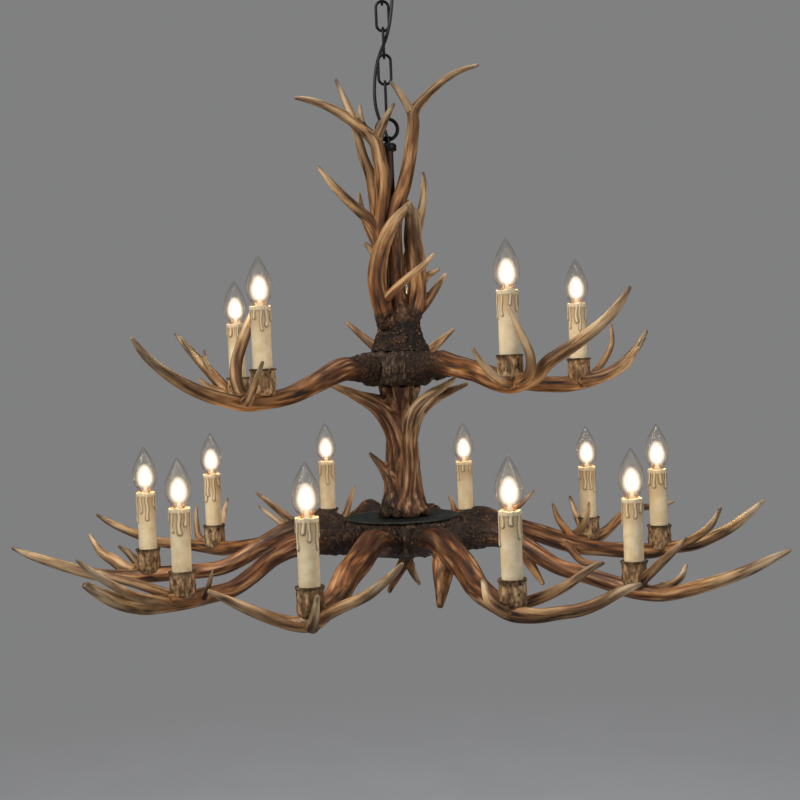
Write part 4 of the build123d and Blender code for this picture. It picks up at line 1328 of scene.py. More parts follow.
@dataclass
class Tier:
    """A hub with its ring of antler arms.

    Attributes:
        name: The tier's name in the CAD nodes.
        arms: The limbs of each arm.
        hub_radius: From the axis to the hub's flats, where the arms' roots stand.
        bark: How far the dark bark runs up each arm.
        bare: How far it runs where that differs, by the arm's number.
        young: How ripe the arms are at their roots.
        root_drop: How far the roots' middles are below the hub's top.
        roots: The (outwards, radius) points of each root, from the hub's face, in millimetres.
    """

    name: str
    arms: Sequence[Sequence[Limb]]
    hub_radius: float
    bark: float = 85 * MM
    bare: dict[int, float] = field(default_factory=dict)
    young: float = 0.06
    root_drop: float = 24 * MM
    roots: Profile = ((-6, 18), (0, 20), (8, 23), (16, 21), (30, 19))

    def rims(self, bench: Bench) -> list[tuple[str, Vector]]:
        """Give the body and the middle of the cup's rim of each of the tier's lamps."""
        return [(joint["child"], Vector(joint["pos_m"])) for joint in bench.frame["joints"]
                if joint["child"].startswith(self.name + "_bulb")]

    def build(self, bench: Bench) -> None:
        """Build the arms and the hub.

        Args:
            bench: Where the pieces are handed over.
        """
        low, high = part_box(f"{self.name}_hub")
        for number, ((_, rim), limbs) in enumerate(zip(self.rims(bench), self.arms), 1):
            self._arm(bench, number, rim, limbs, high.z)
        self._hub(bench, low, high)

    def _arm(self, bench: Bench, number: int, rim: Vector, limbs: Sequence[Limb], top: float
             ) -> None:
        """Grow one arm from the hub's face to its cup and on.

        Args:
            bench: Where it is handed over.
            number: The arm's number.
            rim: The middle of its cup's rim.
            limbs: Its limbs, the beam first.
            top: The height of the hub's top.
        """
        node = f"{self.name}_arm_{number:02}"
        out = Vector((rim.x, rim.y, 0.0)).normalized()
        side = Vector((-out.y, out.x, 0.0))
        growth = Growth(f"{node}_antler", Relief(burr=2.2 * MM),
                        bark_reach=self.bare.get(number, self.bark), young=self.young)
        face = out * self.hub_radius + Vector((0, 0, top - self.root_drop))
        root = [(*(face + out * step * MM), radius * MM) for step, radius in self.roots]
        for index, limb in enumerate(limbs):
            placed = [(*(rim + (out * along + side * across + Vector((0, 0, up))) * MM),
                       radius * MM) for along, across, up, radius in limb]
            if index:
                growth.add_limb(placed, TINE_SIDES)
            else:
                growth.add_limb(root + placed, BEAM_SIDES)
        bench.hand_over(growth.mesh(), ANTLER, "fixture", Slot.ANTLER, node, sharp=GROWN_EDGE)

    def _hub(self, bench: Bench, low: Vector, high: Vector) -> None:
        """Build the hub as a rounded drum of ribbed bark.

        Args:
            bench: Where it is handed over.
            low: The lowest corner of the hub's box.
            high: Its highest corner.
        """
        height, radius = high.z - low.z, self.hub_radius + 5 * MM
        drum = Growth(f"{self.name}_hub_drum",
                      Relief(gutter=1.6 * MM, pearl=0.9 * MM, lump=2.0 * MM))
        profile = [(0, low.z), (radius - 14 * MM, low.z), (radius - 4 * MM, low.z + 7 * MM),
                   (radius, low.z + height * 0.5), (radius - 3 * MM, high.z - 6 * MM),
                   (radius - 10 * MM, high.z), (0, high.z)]
        drum.add_turned(profile, radius)
        bench.hand_over(drum.mesh(), DRUM, "fixture", Slot.BARK, f"{self.name}_hub",
                        sharp=GROWN_EDGE)


@dataclass
class Column:
    """What stands between the eye ring and the bottom nut: stem, stump, antlers, trunk, plates.

    Attributes:
        trunk_x: Where the trunk's axis stands.
        stump_x: Where the stump's axis stands.
        stoutness: How much thicker the antlers' limbs are than in their points.
        crown: The (x, y, up, radius) points of the stump's crown, from the stump's top.
        stump_levels: The stump's (up, radius) points, from its foot.
        trunk_levels: The trunk's (up, radius) points, from its foot.
        stem_radius: From the axis to the stem's outside, in millimetres.
        stem_bore: From the axis to its inside.
        cap_radius: From the axis to the stem cap's outside.
        shank_bore: From the axis to the side of the cap's hole for the eye ring's shank.
        stem_hole: From the axis to the side of the cap's hole for the stem.
        plate_hole: From the axis to the side of the plates' hole for the stem.
    """

    trunk_x: float = 3 * MM
    stump_x: float = 6 * MM
    stoutness: float = 1.16
    crown: Limb = ((3, 0, -8, 31), (3, 0, 6, 31), (2, -1, 22, 26), (1, -1, 40, 18), (0, 0, 58, 12))
    stump_levels: Profile = ((0, 43), (4, 42.5), (8, 41), (20, 36), (34, 32.5), (46, 31))
    trunk_levels: Profile = ((0, 38), (8, 39), (14, 36), (30, 30.5), (62, 27), (88, 25),
                             (125, 22.5), (150, 22.5), (172, 26), (188, 30), (198, 32))
    stem_radius: float = 8.0
    stem_bore: float = 6.0
    cap_radius: float = 13.0
    shank_bore: float = 4.1
    stem_hole: float = 8.2
    plate_hole: float = 8.3

    def build(self, bench: Bench) -> None:
        """Build each piece of the column.

        Args:
            bench: Where the pieces are handed over.
        """
        self._stump(bench)
        self._antlers(bench)
        self._trunk(bench)
        self._stem(bench)
        self._plates(bench)

    def _stump(self, bench: Bench) -> None:
        """Build the granular stump on the upper hub, and its fibrous crown.

        Args:
            bench: Where the pieces are handed over.
        """
        low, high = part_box("stump")
        stump = Growth("stump_bark", Relief(gutter=0.8 * MM, pearl=2.0 * MM, lump=2.4 * MM))
        profile = [(0, low.z), *((r * MM, low.z + up * MM) for up, r in self.stump_levels),
                   (0, high.z)]
        stump.add_turned(profile, 38 * MM, self.stump_x)
        bench.hand_over(stump.mesh(), CRUST, "fixture", Slot.BARK, "stump", sharp=GROWN_EDGE)
        relief = Relief(gutter=1.6 * MM, pearl=1.2 * MM, lump=1.6 * MM, flutes=8,
                        flute_depth=4.5 * MM)
        crown = Growth("stump_crown", relief, bark_reach=14 * MM, young=0.08, old=0.3, melt=10)
        crown.add_limb([(x * MM, y * MM, high.z + up * MM, radius * MM)
                        for x, y, up, radius in self.crown], 32)
        bench.hand_over(crown.mesh(), ANTLER, "fixture", Slot.BARK, "stump", sharp=GROWN_EDGE)

    def _antlers(self, bench: Bench) -> None:
        """Build the antlers that stand on the stump round the stem."""
        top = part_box("stump")[1].z
        for node, limbs in COLUMN_ANTLERS.items():
            growth = Growth(f"{node}_horn", bark_reach=26 * MM, young=0.30)
            for index, limb in enumerate(limbs):
                placed = [(x * MM, y * MM, top + up * MM, radius * self.stoutness * MM)
                          for x, y, up, radius in limb]
                falls = limb[-1][2] < limb[0][2] - 100
                growth.add_limb(placed, TINE_SIDES if index else BEAM_SIDES,
                                ripe=(0.5, 0.3) if falls else None)
            bench.hand_over(growth.mesh(), ANTLER, "fixture", Slot.ANTLER, node,
                            sharp=GROWN_EDGE)

    def _trunk(self, bench: Bench) -> None:
        """Build the fluted trunk between the hubs, with its front rib and its branches.

        Args:
            bench: Where the pieces are handed over.
        """
        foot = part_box("trunk")[0].z
        relief = Relief(gutter=1.0 * MM, pearl=0.7 * MM, lump=1.2 * MM, flutes=8,
                        flute_depth=4.8 * MM)
        growth = Growth("trunk_antler", relief, bark_reach=26 * MM, young=0.0, old=0.22, melt=16)
        growth.add_limb([(self.trunk_x, 0, foot + up * MM, radius * MM)
                         for up, radius in self.trunk_levels], 40)
        for index, limb in enumerate(TRUNK_BRANCHES):
            placed = [(x * MM, y * MM, foot + up * MM, radius * MM) for x, y, up, radius in limb]
            if index:
                growth.add_limb(placed, 12, ripe=(0.08, 0.82), cling=6.0)
            else:
                growth.add_limb(placed, 12, ripe=(0.32, 0.90), cling=0.5)
        bench.hand_over(growth.mesh(), FLUTED, "fixture", Slot.BARK, "trunk", sharp=GROWN_EDGE)

    def _stem(self, bench: Bench) -> None:
        """Turn the stem and its cap.

        Args:
            bench: Where the pieces are handed over.
        """
        foot, top = heights("stem")
        outer, bore = self.stem_radius, self.stem_bore
        tube = millimetres([(outer - 1, foot), (outer, foot + 1), (outer, top), (bore, top),
                            (bore, foot)])
        bench.hand_over(turned_mesh("stem_tube", tube, ORIGIN, closed=True), BROWN_METAL,
                        "fixture", Slot.BROWN_METAL, "stem")
        foot, top = heights("stem_cap")
        outer, hole, shank = self.cap_radius, self.stem_hole, self.shank_bore
        cap = millimetres([
            (hole, foot), (outer - 1, foot), (outer, foot + 1), (outer, top - 4),
            (outer - 0.6, top - 2.4), (outer - 3, top - 0.6), (outer - 6, top), (shank, top),
            (shank, top - 5), (hole, top - 5)])
        bench.hand_over(turned_mesh("stem_cap_turned", cap, ORIGIN, closed=True), BLACK_METAL,
                        "fixture", Slot.BLACK_METAL, "stem_cap", sharp=50)

    def _plates(self, bench: Bench) -> None:
        """Turn the two plates, and make the nut that clamps the stack.

        Args:
            bench: Where the pieces are handed over.
        """
        for node in "top_plate", "bottom_plate":
            foot, top = heights(node)
            low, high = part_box(node)
            radius, hole = (high.y - low.y) / 2 / MM, self.plate_hole
            plate = millimetres([
                (hole, foot), (radius - 1, foot), (radius, foot + 1), (radius, top - 0.8),
                (radius - 0.8, top), (radius - 6, top), (radius - 6.6, top - 0.5),
                (hole, top - 0.5)])
            bench.hand_over(turned_mesh(f"{node}_disc", plate, ORIGIN, 96, closed=True),
                            PLATE_METAL, "fixture", Slot.BLACK_METAL, node, sharp=25)
        low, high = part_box("bottom_nut")
        bench.hand_over(hexagon_nut("bottom_nut_hex", low.z, high.z, 16 * MM, 8.1 * MM),
                        BLACK_METAL, "fixture", Slot.BLACK_METAL, "bottom_nut", sharp=25)


def hexagon_nut(name: str, low: float, high: float, flat: float, bore: float) -> bpy.types.Mesh:
    """Make a hexagon nut with eased edges and a bore.

    Args:
        name: The mesh's name.
        low: The height of its foot.
        high: The height of its top.
        flat: From its middle to its flats.
        bore: From its middle to the side of its bore.

    Returns:
        The mesh.
    """
    shell = bmesh.new()
    corner = flat / math.cos(math.pi / 6)
    outside = bmesh.ops.create_circle(shell, segments=6, radius=corner,
                                      matrix=Matrix.Translation((0, 0, low)))["verts"]
    inside = bmesh.ops.create_circle(shell, segments=24, radius=bore,
                                     matrix=Matrix.Translation((0, 0, low)))["verts"]
    edges = list(dict.fromkeys(e for v in [*outside, *inside] for e in v.link_edges))
    face = bmesh.ops.triangle_fill(shell, edges=edges, use_beauty=True)["geom"]
    faces = [part for part in face if isinstance(part, bmesh.types.BMFace)]
    raised = bmesh.ops.extrude_face_region(shell, geom=faces)["geom"]
    tops = [part for part in raised if isinstance(part, bmesh.types.BMVert)]
    bmesh.ops.translate(shell, verts=tops, vec=(0, 0, high - low))
    bmesh.ops.recalc_face_normals(shell, faces=shell.faces)
    rim = [edge for edge in shell.edges
           if len(edge.link_faces) == 2 and edge.calc_face_angle(0.0) > 0.8
           and min(v.co.xy.length for v in edge.verts) > (bore + flat) / 2]
    bmesh.ops.bevel(shell, geom=rim, affect="EDGES", offset=0.9 * MM, segments=2, profile=0.5,
                    material=-1)
    return finish_mesh(name, shell)


# Candle lamps


@dataclass
class Lamp:
    """One candle lamp, standing on the rim of its cup. Sizes are in millimetres.

    Attributes:
        label: The lamp's name, such as lower_01.
        rim: The middle of its cup's rim.
        sleeve_radius: From the axis to the sleeve's outside, under its wax.
        sleeve_top: How far the sleeve stands above the rim.
        sleeve_sink: How far it goes down into the cup.
        sleeve_wall: How thick it is.
        base_foot: The height of the bulb's foot.
        neck: The height at which the bulb's glass starts.
        glare_middle: How far the middle of the glow is above the neck.
        glare_reach: From there to its tip.
        glare_radius: How far it reaches sideways.
        light_rise: How far the light is above the neck.
        light_radius: How soft its shadows are.
        light_power: Its power in watts.
        light_colour: Its colour.
    """

    label: str
    rim: Vector
    sleeve_radius: float = 13.6
    sleeve_top: float = 85.0
    sleeve_sink: float = 6.0
    sleeve_wall: float = 1.7
    base_foot: float = 61.0
    neck: float = 83.0
    glare_middle: float = 26.0
    glare_reach: float = 20.0
    glare_radius: float = 14.5
    light_rise: float = 27.0
    light_radius: float = 16.0
    light_power: float = 0.36
    light_colour: Colour = (1.0, 0.72, 0.42)

    def __post_init__(self) -> None:
        """Make random draws that depend on the lamp alone."""
        self.draws = random.Random("wax " + self.label)
        self.bulb_body = self.label.replace("_", "_bulb_")

    def build(self, bench: Bench) -> None:
        """Build each piece of the lamp, and its light.

        Args:
            bench: Where the pieces are handed over.
        """
        arm = self.label.replace("_", "_arm_")
        bench.hand_over(self._cup(), ANTLER, "fixture", Slot.ANTLER, arm, sharp=GROWN_EDGE)
        bench.hand_over(self._sleeve(), WAX, "fixture", Slot.SLEEVE, "candle_sleeves", sharp=60)
        self._holder(bench)
        self._bulb(bench)
        self._light()

    def _cup(self) -> bpy.types.Mesh:
        """Turn the bark cup that the sleeve stands in, and work its surface."""
        outside = rounded([(14.5, -37), (17.2, -32), (17.9, -24), (17.7, -14), (17.3, -7),
                           (18.2, -3.6), (19.0, -1.6), (18.4, 0)], 1.1)
        inside = [(14.9, 0), (14.2, -0.8), (14.1, -6), (0, -6)]
        profile = millimetres([(0, -37), *outside, *inside])
        mesh = turned_mesh(f"cup_{self.label}", profile, self.rim, 72)
        found = {name: [] for name in ("ripeness", "bark", "relief")}
        grains = []
        shift = Vector([self.draws.uniform(-1, 1) for _ in range(3)])
        for vert in mesh.vertices:
            place = vert.co - self.rim
            reach = place.xy.length
            run = Vector((place.x, place.y, place.z * 0.45)) + shift
            flake = valley(run * 140, 0.42) * 0.55 + valley(run * 300, 0.45) * 0.45
            worked = ease(reach, 15.9 * MM, 17 * MM) if place.z > -8 * MM else 1.0
            knob = noise.noise(run * 190) * MM
            if reach > 10 * MM:
                out = Vector((place.x, place.y, 0)).normalized()
                vert.co += out * worked * ((flake - 0.8) * 1.5 * MM + knob)
            rim_dark = ease(place.z, -4 * MM, -1.5 * MM)
            found["ripeness"].append(0.80)
            found["bark"].append(max(0.7 * rim_dark, 0.10 * (1 - flake)))
            found["relief"].append(flake * 0.9)
            grains.extend(Vector((place.x, place.y, place.z * 5)) + shift)
        keep(mesh, found, grains)
        return mesh

    def _wax(self, drips: Sequence[tuple[float, float, float, float]], turned: float, up: float
             ) -> tuple[float, float]:
        """Let the wax run over one place on the sleeve.

        Args:
            drips: The (angle, half width, length, phase) of each run of wax.
            turned: The angle of the place.
            up: Its height above the rim.

        Returns:
            How far the wax stands proud there, and how deep in a crease the place is.
        """
        lip = ease(up, self.sleeve_top - 7.5, self.sleeve_top - 5)
        height, crease = 1.2 * lip, 0.35 * (1 - abs(2 * lip - 1)) if 0 < lip < 1 else 0.0
        for angle, half, length, phase in drips:
            end = self.sleeve_top - length
            off = (turned - angle + math.pi) % FULL_TURN - math.pi
            across = abs(off * self.sleeve_radius + 0.7 * math.sin(up * 0.25 + phase)) / half
            bead = half * 1.25
            if up < end:
                across = math.hypot(across * half / bead, (end - up) / bead)
            elif up < end + 2 * bead:
                across *= half / (bead + (half - bead) * ease(up, end, end + 2 * bead))
            if across < 1.0:
                thick = 1.7 if up < end + 2 * bead else 1.35
                height = max(height, thick * math.sqrt(1.0 - across ** 2))
            # The crease marks the edges of the runs and the step under the lip, where stain and
            # painted shade go.
            edge = math.exp(-((across - 1.05) / 0.38) ** 2)
            crease = max(crease, edge * (1 - 0.7 * lip))
        return height, crease

    def _sleeve(self) -> bpy.types.Mesh:
        """Turn the candle sleeve and let wax run down it."""
        count = self.draws.randint(8, 10)
        drips = [(FULL_TURN * (index + self.draws.uniform(-0.25, 0.25)) / count,
                  self.draws.uniform(1.5, 2.5), self.draws.uniform(14, 44),
                  self.draws.uniform(0, FULL_TURN)) for index in range(count)]
        radius, top, wall = self.sleeve_radius, self.sleeve_top, self.sleeve_wall
        rows = [(radius, -self.sleeve_sink + 1.25 * step) for step in range(73)]
        profile = millimetres([*rows, (radius - 0.1, top - 0.4), (radius - 0.6, top),
                               (radius - wall + 0.3, top), (radius - wall, top - 0.6),
                               (radius - wall, -self.sleeve_sink)])
        mesh = turned_mesh(f"candle_sleeve_{self.label}", profile, self.rim, 104, closed=True)
        found = {name: [] for name in ("crease", "raised", "aged")}
        sag = self.draws.uniform(0, FULL_TURN)
        for vert in mesh.vertices:
            place = (vert.co - self.rim) / MM
            turned = math.atan2(place.y, place.x)
            height, crease = self._wax(drips, turned, place.z)
            outer = ease(place.xy.length, radius - 1.2, radius - 0.2)
            out = Vector((place.x, place.y, 0)).normalized()
            vert.co += out * (height * outer * MM)
            if place.z > top - 3:
                wave = math.sin(turned * 3 + sag) * 0.6 + math.sin(turned * 7 + 2 * sag) * 0.45
                vert.co.z += wave * MM * ease(place.z, top - 3, top)
            clean = 0.7 * ease(place.z, top - 7, top)
            found["crease"].append(crease * outer)
            found["raised"].append(min(1.0, height) * outer)
            found["aged"].append(ease(place.z, top - 46, top - 12) * (1 - clean))
        keep(mesh, found)
        return mesh

    def _turned(self, name: str, profile: Profile) -> bpy.types.Mesh:
        """Turn a profile in millimetres round the lamp's axis."""
        return turned_mesh(f"{name}_{self.label}", millimetres(profile), self.rim, 40)

    def _holder(self, bench: Bench) -> None:
        """Turn the lamp holder inside the sleeve.

        Args:
            bench: Where the pieces are handed over.
        """
        top, floor = self.neck - 1, self.base_foot - 0.6
        shape = [(0, -5.7), (11.2, -5.7), (11.2, top - 3), (12.3, top - 2), (12.3, top),
                 (8.2, top), (7.7, top - 1), (7.7, floor), (0, floor)]
        bench.hand_over(self._turned("lamp_holder", shape), BLACK_PLASTIC, "fixture",
                        Slot.BLACK_PLASTIC, "lamp_holders", sharp=30)

    def _glare(self) -> list[tuple[float, float]]:
        """Draw the glow round the filament as an egg, slimmer towards its tip."""
        middle, egg = self.neck + self.glare_middle, []
        for step in range(19):
            angle = math.pi * (step / 18 - 0.5)
            rise, reach = math.sin(angle), max(0.0, self.glare_radius * math.cos(angle))
            egg.append((reach * (1.0 - 0.15 * rise), middle + self.glare_reach * rise))
        return egg

    def _bulb(self, bench: Bench) -> None:
        """Build the bulb, which screws out of its holder.

        Args:
            bench: Where the pieces are handed over.
        """
        foot, neck = self.base_foot, self.neck
        thread = [(6.2 + 0.6 * (step % 2), foot + 3 + 1.6 * step) for step in range(10)]
        base = [(0, foot), (2.6, foot + 0.2), (3, foot + 1.2), (5.4, foot + 2.2), *thread,
                (6.9, neck - 3), (6.9, neck + 1.4), (6.3, neck + 1.8), (0, neck + 1.8)]
        envelope = rounded([(0, 0.9), (6.2, 1), (9.2, 5), (14.6, 13), (17.5, 24), (16.9, 36),
                            (13.0, 48), (8.0, 58), (3.8, 65.5), (1.5, 69.6), (0, 71)], 1.6)
        envelope = [(radius, neck + up) for radius, up in envelope]
        press = [(0, neck + 1.7), (4.4, neck + 1.8), (3.2, neck + 5), (2.6, neck + 10),
                 (2.2, neck + 15), (0, neck + 16)]
        glare, middle = self._glare(), neck + self.glare_middle
        heart = [(radius * 0.36, middle - 2 + (up - middle) * 0.55) for radius, up in glare]
        for name, profile, finish in (
                ("bulb_base", base, BRASS), ("bulb_glass", envelope, GLASS),
                ("bulb_stem", press, LIT_GLASS), ("bulb_filament", heart, GLOW),
                ("bulb_glare", glare, HALO)):
            mesh = self._turned(name, profile)
            if finish == GLASS:
                # The neck mask is where the glass takes the painted reflection of the brass base.
                rise = [(vert.co.z - self.rim.z) / MM - neck for vert in mesh.vertices]
                keep(mesh, {"neck": [1 - ease(up, 3, 11) for up in rise]})
            piece = bench.hand_over(mesh, finish, self.bulb_body, Slot.GLASS, self.bulb_body,
                                    sharp=50)
            piece.visible_shadow = name == "bulb_base"

    def _light(self) -> None:
        """Hang the light that the bulb gives inside it."""
        lamp = bpy.data.lights.new(f"lamp_light_{self.label}", "POINT")
        lamp.energy, lamp.color = self.light_power, self.light_colour
        lamp.shadow_soft_size = self.light_radius * MM
        light = bpy.data.objects.new(lamp.name, lamp)
        light.location = self.rim + Vector((0, 0, (self.neck + self.light_rise) * MM))
        bpy.context.scene.collection.objects.link(light)


# Canopy, chain and cord


@dataclass
class Suspension:
    """The canopy on the ceiling, its loop, the chain, and the eye ring that carries the stem.

    Attributes:
        link_wire: The thickness of the links' wire.
        loop_wire: That of the canopy's loop.
        eye_wire: That of the eye ring.
        cord_x: Where the cord leaves the canopy, from the axis towards +X.
    """

    link_wire: float = 4.2 * MM
    loop_wire: float = 5.0 * MM
    eye_wire: float = 5.5 * MM
    cord_x: float = 20 * MM

    def build(self, bench: Bench) -> None:
        """Build each piece from the canopy down.

        Args:
            bench: Where the pieces are handed over.
        """
        self._canopy(bench)
        self._loop(bench)
        self._bushing(bench)
        for number in range(1, 6):
            low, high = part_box(f"chain_link_{number}")
            mesh = self._bar(f"chain_link_{number}_bar", low, high, self.link_wire)
            bench.hand_over(mesh, BLACK_METAL, f"link_{number}", Slot.BLACK_METAL,
                            f"chain_link_{number}", sharp=60)
        low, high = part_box("eye_ring")
        ring_low = Vector((low.x, low.y, high.z - (high.x - low.x)))
        collar = [(0, -32), (5.5, -32), (5.5, -29.6), (4.2, -28.6), (0, -28.6)]
        shank = [(0, -50), (4, -50), (4, -31.5), (0, -31.5)]
        mesh = self._bar("eye_ring_bar", ring_low, high, self.eye_wire, (collar, shank), high.z)
        bench.hand_over(mesh, BLACK_METAL, "fixture", Slot.BLACK_METAL, "eye_ring", sharp=40)
        for node, finish in (("ceiling_bracket", STEEL), ("lock_nuts", STEEL),
                             ("terminal_block", WHITE_PLASTIC), ("antler_dowels", DOWEL_WOOD)):
            bench.dress(node, finish)

    @staticmethod
    def _bar(name: str, low: Vector, high: Vector, wire: float, turned: Sequence[Profile] = (),
             base: float = 0.0) -> bpy.types.Mesh:
        """Bend round bar into a closed upright loop, and add what is turned on it.

        Args:
            name: The mesh's name.
            low: The loop's lowest corner.
            high: Its highest corner.
            wire: How thick the bar is.
            turned: The profiles, in millimetres, of what stands on its axis.
            base: The height that they count from.

        Returns:
            The mesh.
        """
        shell = bmesh.new()
        middle = (low + high) / 2
        wide_x = high.x - low.x > high.y - low.y
        width = high.x - low.x if wide_x else high.y - low.y
        radius, straight = (width - wire) / 2, max(0.0, (high.z - low.z - width) / 2)
        line, hoops = [], 64
        for step in range(hoops):
            angle = FULL_TURN * step / hoops
            across, up = radius * math.cos(angle), radius * math.sin(angle)
            up += math.copysign(straight, up) if abs(up) > 1e-9 else 0.0
            spot = Vector((across, 0, up)) if wide_x else Vector((0, across, up))
            line.append((middle + spot, wire / 2))
        lay_tube(shell, line, 20, closed=True)
        for profile in turned:
            turn(shell, millimetres(profile), Vector((0, 0, base)), 32)
        return finish_mesh(name, shell)

    def _canopy(self, bench: Bench) -> None:
        """Turn the canopy.

        Args:
            bench: Where the pieces are handed over.
        """
        outside = [(28, -40), (30.5, -39.2), (50, -21), (58, -12.5), (61.4, -8.6), (62, -7.4),
                   (62, -0.6), (61.6, 0)]
        inside = [(60.8, 0), (60.4, -0.8), (60.4, -7.2), (48.5, -20), (29.6, -37.8),
                  (27.6, -38.4)]
        cup = millimetres([(5.1, -40), *outside, *inside, (5.1, -38.4)])
        bench.hand_over(turned_mesh("canopy_cup", cup, ORIGIN, 96, closed=True), BLACK_METAL,
                        "root", Slot.BLACK_METAL, "canopy", sharp=30)

    def _loop(self, bench: Bench) -> None:
        """Build the loop under the canopy, with its collar and its shank.

        Args:
            bench: Where the pieces are handed over.
        """
        low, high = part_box("canopy_loop")
        loop_low = Vector((low.x, -self.loop_wire / 2, low.z))
        loop_high = Vector((high.x, self.loop_wire / 2, low.z + high.x - low.x))
        collar = [(0, -47), (8.6, -47), (10.6, -45.6), (11, -44.4), (11, -40), (0, -40)]
        shank = [(0, -41), (5, -41), (5, -0.8), (4.4, 0), (0, 0)]
        mesh = self._bar("canopy_loop_bar", loop_low, loop_high, self.loop_wire, (collar, shank))
        bench.hand_over(mesh, BLACK_METAL, "root", Slot.BLACK_METAL, "canopy_loop", sharp=40)

    def _bushing(self, bench: Bench) -> None:
        """Turn the bushing through which the cord leaves the canopy.

        Args:
            bench: Where the pieces are handed over.
        """
        bush = millimetres([(2.6, -42), (5.6, -42), (6.5, -41.4), (6.5, -40), (5, -40),
                            (5, -32), (2.6, -32)])
        mesh = turned_mesh("cord_bushing_turned", bush, Vector((self.cord_x, 0, 0)), 32,
                           closed=True)
        bench.hand_over(mesh, BLACK_PLASTIC, "root", Slot.BLACK_PLASTIC, "cord_bushing", sharp=40)


@dataclass
class SupplyCord:
    """The cord that winds down the chain, in one stretch for each joint that it crosses.

    Attributes:
        diameter: How thick it is.
        cuts: The heights, in millimetres, at which one stretch gives way to the next.
        turn_room: How far above and below a joint its stretch would bend; not used.
    """

    diameter: float = 5 * MM
    cuts: tuple[float, ...] = (-90.5, -130, -170, -210, -258)
    turn_room: float = 9 * MM

    def _middle_line(self) -> list[Vector]:
        """Read the points of the route's smooth curve."""
        curve = bpy.data.curves.new("cord_route", "CURVE")
        curve.dimensions = "3D"
        spline = curve.splines.new("NURBS")
        spline.points.add(len(CORD_ROUTE) - 1)
        for point, spot in zip(spline.points, CORD_ROUTE):
            point.co = (*(value * MM for value in spot), 1.0)
        spline.order_u = 3
        spline.use_endpoint_u = True
        spline.resolution_u = 12
        holder = bpy.data.objects.new("cord_route", curve)
        read = bpy.data.meshes.new_from_object(holder)
        line = [vert.co.copy() for vert in read.vertices]
        bpy.data.objects.remove(holder)
        bpy.data.curves.remove(curve)
        bpy.data.meshes.remove(read)
        return line if line[0].z > line[-1].z else line[::-1]

    def _stretches(self) -> list[list[Vector]]:
        """Cut the route's line at the heights of the cuts."""
        line, cuts = self._middle_line(), [cut * MM for cut in self.cuts]
        stretches, current = [], []
        for near, far in zip(line, line[1:]):
            current.append(near)
            if cuts and far.z <= cuts[0] < near.z:
                cut = near.lerp(far, (near.z - cuts.pop(0)) / (near.z - far.z))
                stretches.append([*current, cut])
                current = [cut]
        return [*stretches, [*current, line[-1]]]

    def build(self, bench: Bench) -> None:
        """Build the stretches, one for each joint that the cord crosses."""
        joints = [joint for joint in bench.frame["joints"] if joint["name"].endswith("_swing")]
        for number, (joint, stretch) in enumerate(zip(joints, self._stretches()), 1):
            shell = bmesh.new()
            lay_tube(shell, [(spot, self.diameter / 2) for spot in stretch], 16)
            mesh = finish_mesh(f"supply_cord_{number}", shell)
            piece = bench.show(mesh, CORD_RUBBER, 50)
            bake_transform(piece)
            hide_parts("supply_cord")
            length = sum((b - a).length for a, b in zip(stretch, stretch[1:]))
            LOG.info("%s bends across %s, %.1f mm", piece.name, joint["name"], length / MM)


# Studio


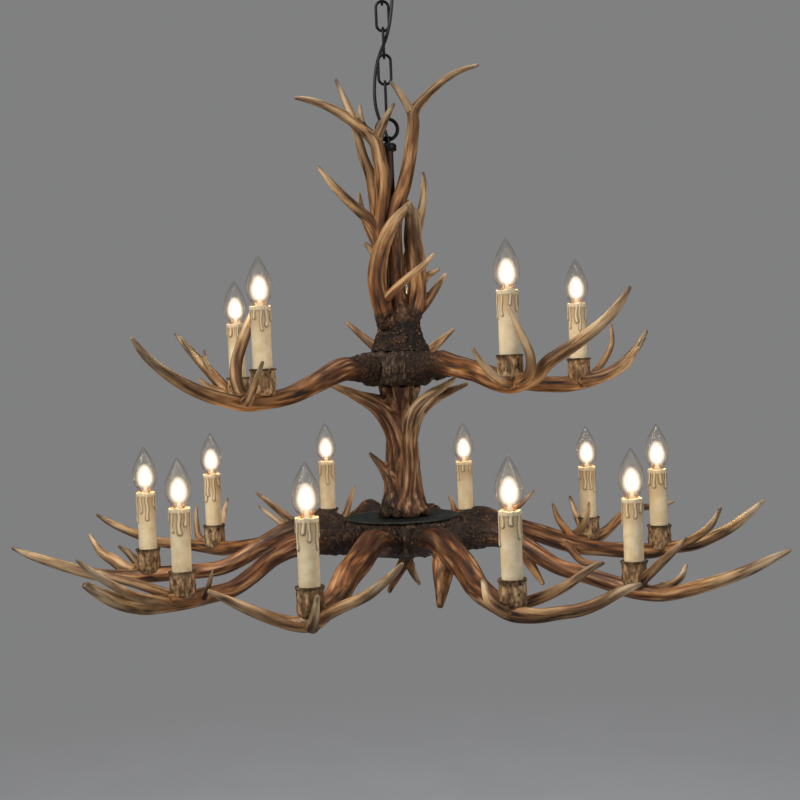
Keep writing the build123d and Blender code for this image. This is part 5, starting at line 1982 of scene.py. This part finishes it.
@dataclass
class Studio:
    """The camera at the photograph's view, soft light, a pale floor and a plain grey backdrop.

    Attributes:
        eye: Where the camera stands.
        tilt: How far it is tilted up from looking straight down, in degrees.
        pan: How far it is turned to the left after that.
        roll: How far it is rolled about its own line of sight before that.
        lens: Its focal length in millimetres, over a sensor 36 mm wide.
        backdrop: What the camera, glossy surfaces and glass see round the object.
        ambient: What lights the object from all round.
        floor_drop: How far the floor is below the ceiling.
        floor_radius: How far it reaches.
    """

    eye: Triple = (0.0, -2.0613, -0.629)
    tilt: float = 87.92
    pan: float = -0.08
    roll: float = -2.34
    lens: float = 61.33
    backdrop: Colour = (0.215, 0.216, 0.219)
    ambient: Colour = (0.27, 0.28, 0.30)
    floor_drop: float = 2.2
    floor_radius: float = 9.0

    def build(self) -> None:
        """Set up everything round the object."""
        self._camera()
        self._world()
        self._floor()
        self._area("key", (-1.6, -2.1, 1.3), aim=-0.75, size=1.3, power=84,
                   colour=(1.0, 0.97, 0.93))
        self._area("fill", (2.5, -1.8, 0.1), aim=-0.75, size=1.4, power=20,
                   colour=(0.93, 0.96, 1.0))
        self._area("top", (0.3, 0.7, 2.3), aim=-0.7, size=2.2, power=34,
                   colour=(0.98, 0.99, 1.0))

    def _camera(self) -> None:
        """Place the camera."""
        camera = bpy.data.cameras.new("camera")
        camera.sensor_width, camera.lens = 36.0, self.lens
        holder = bpy.data.objects.new("camera", camera)
        pan, tilt, roll = (
            Matrix.Rotation(math.radians(angle), 4, axis)
            for angle, axis in ((self.pan, "Z"), (self.tilt, "X"), (self.roll, "Z")))
        holder.matrix_world = Matrix.Translation(self.eye) @ pan @ tilt @ roll
        bpy.context.scene.collection.objects.link(holder)
        bpy.context.scene.camera = holder

    def _world(self) -> None:
        """Show the backdrop to the camera, in gloss and through glass, and light with ambient."""
        world = bpy.data.worlds.new("backdrop")
        world.use_nodes = True
        sky = Recipe(world.name, world.node_tree)
        camera, gloss, glass = (
            sky.node("ShaderNodeLightPath", output=name)
            for name in ("Is Camera Ray", "Is Glossy Ray", "Is Transmission Ray"))
        seen = camera.larger(gloss).larger(glass)
        light = sky.node("ShaderNodeBackground", {}, {
            "Color": sky.blend(seen, self.ambient, self.backdrop), "Strength": 1.0})
        sky.node("ShaderNodeOutputWorld", {}, {"Surface": light})
        bpy.context.scene.world = world
        bpy.context.scene.view_settings.view_transform = "Standard"

    def _floor(self) -> None:
        """Lay a pale floor that fades into the backdrop, with a soft shadow on it."""
        shell = bmesh.new()
        bmesh.ops.create_circle(shell, cap_ends=True, segments=96, radius=self.floor_radius,
                                matrix=Matrix.Translation((0, 0, -self.floor_drop)))
        floor = bpy.data.objects.new("floor", finish_mesh("floor", shell))
        bpy.context.scene.collection.objects.link(floor)
        mix = Recipe("pale_floor")
        place = mix.place()
        reach = mix.node("ShaderNodeVectorMath", {"operation": "LENGTH"},
                         {0: mix.stretched(place, (1.0, 1.0, 0.0))}, "Value")
        grit = mix.noise(place, 3.0, 2)
        matt = mix.node("ShaderNodeBsdfDiffuse", {}, {
            "Color": mix.blend(grit.between(0.4, 0.6), (0.60, 0.60, 0.60), (0.64, 0.64, 0.64))})
        clear = mix.node("ShaderNodeBsdfTransparent")
        floor.data.materials.append(mix.close(mix.node("ShaderNodeMixShader", {}, {
            0: reach.between(1.0, 4.2), 1: matt, 2: clear})))

    @staticmethod
    def _area(name: str, place: Triple, aim: float, size: float, power: float, colour: Colour
              ) -> None:
        """Hang a soft square light that faces the object's axis.

        Args:
            name: The light's name.
            place: Where it hangs.
            aim: The height on the axis that it faces.
            size: The length of its sides.
            power: Its power in watts.
            colour: Its colour.
        """
        lamp = bpy.data.lights.new(name, "AREA")
        lamp.size, lamp.energy, lamp.color = size, power, colour
        light = bpy.data.objects.new(name, lamp)
        light.location = place
        line = Vector((0, 0, aim)) - Vector(place)
        light.rotation_euler = line.to_track_quat("-Z", "Y").to_euler()
        bpy.context.scene.collection.objects.link(light)


def main() -> None:
    """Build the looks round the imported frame."""
    logging.basicConfig(level=logging.INFO, format="%(name)s: %(message)s")
    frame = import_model()
    bench = Bench(frame)
    Studio().build()
    SupplyCord().build(bench)
    Suspension().build(bench)
    Column().build(bench)
    tiers = (
        Tier("lower", LOWER_ARMS, 85 * MM, bare={1: 40 * MM, 10: 40 * MM, 5: 60 * MM}),
        Tier("upper", UPPER_ARMS, 55 * MM, bark=60 * MM, bare={1: 95 * MM}, young=0.2,
             roots=((-6, 17), (0, 18), (8, 21), (16, 19), (30, 17))),
    )
    for tier in tiers:
        tier.build(bench)
        for body, rim in tier.rims(bench):
            Lamp(body.replace("_bulb_", "_"), rim).build(bench)
    LOG.info("%d pieces", bench.count)


if __name__ == "__main__":
    main()
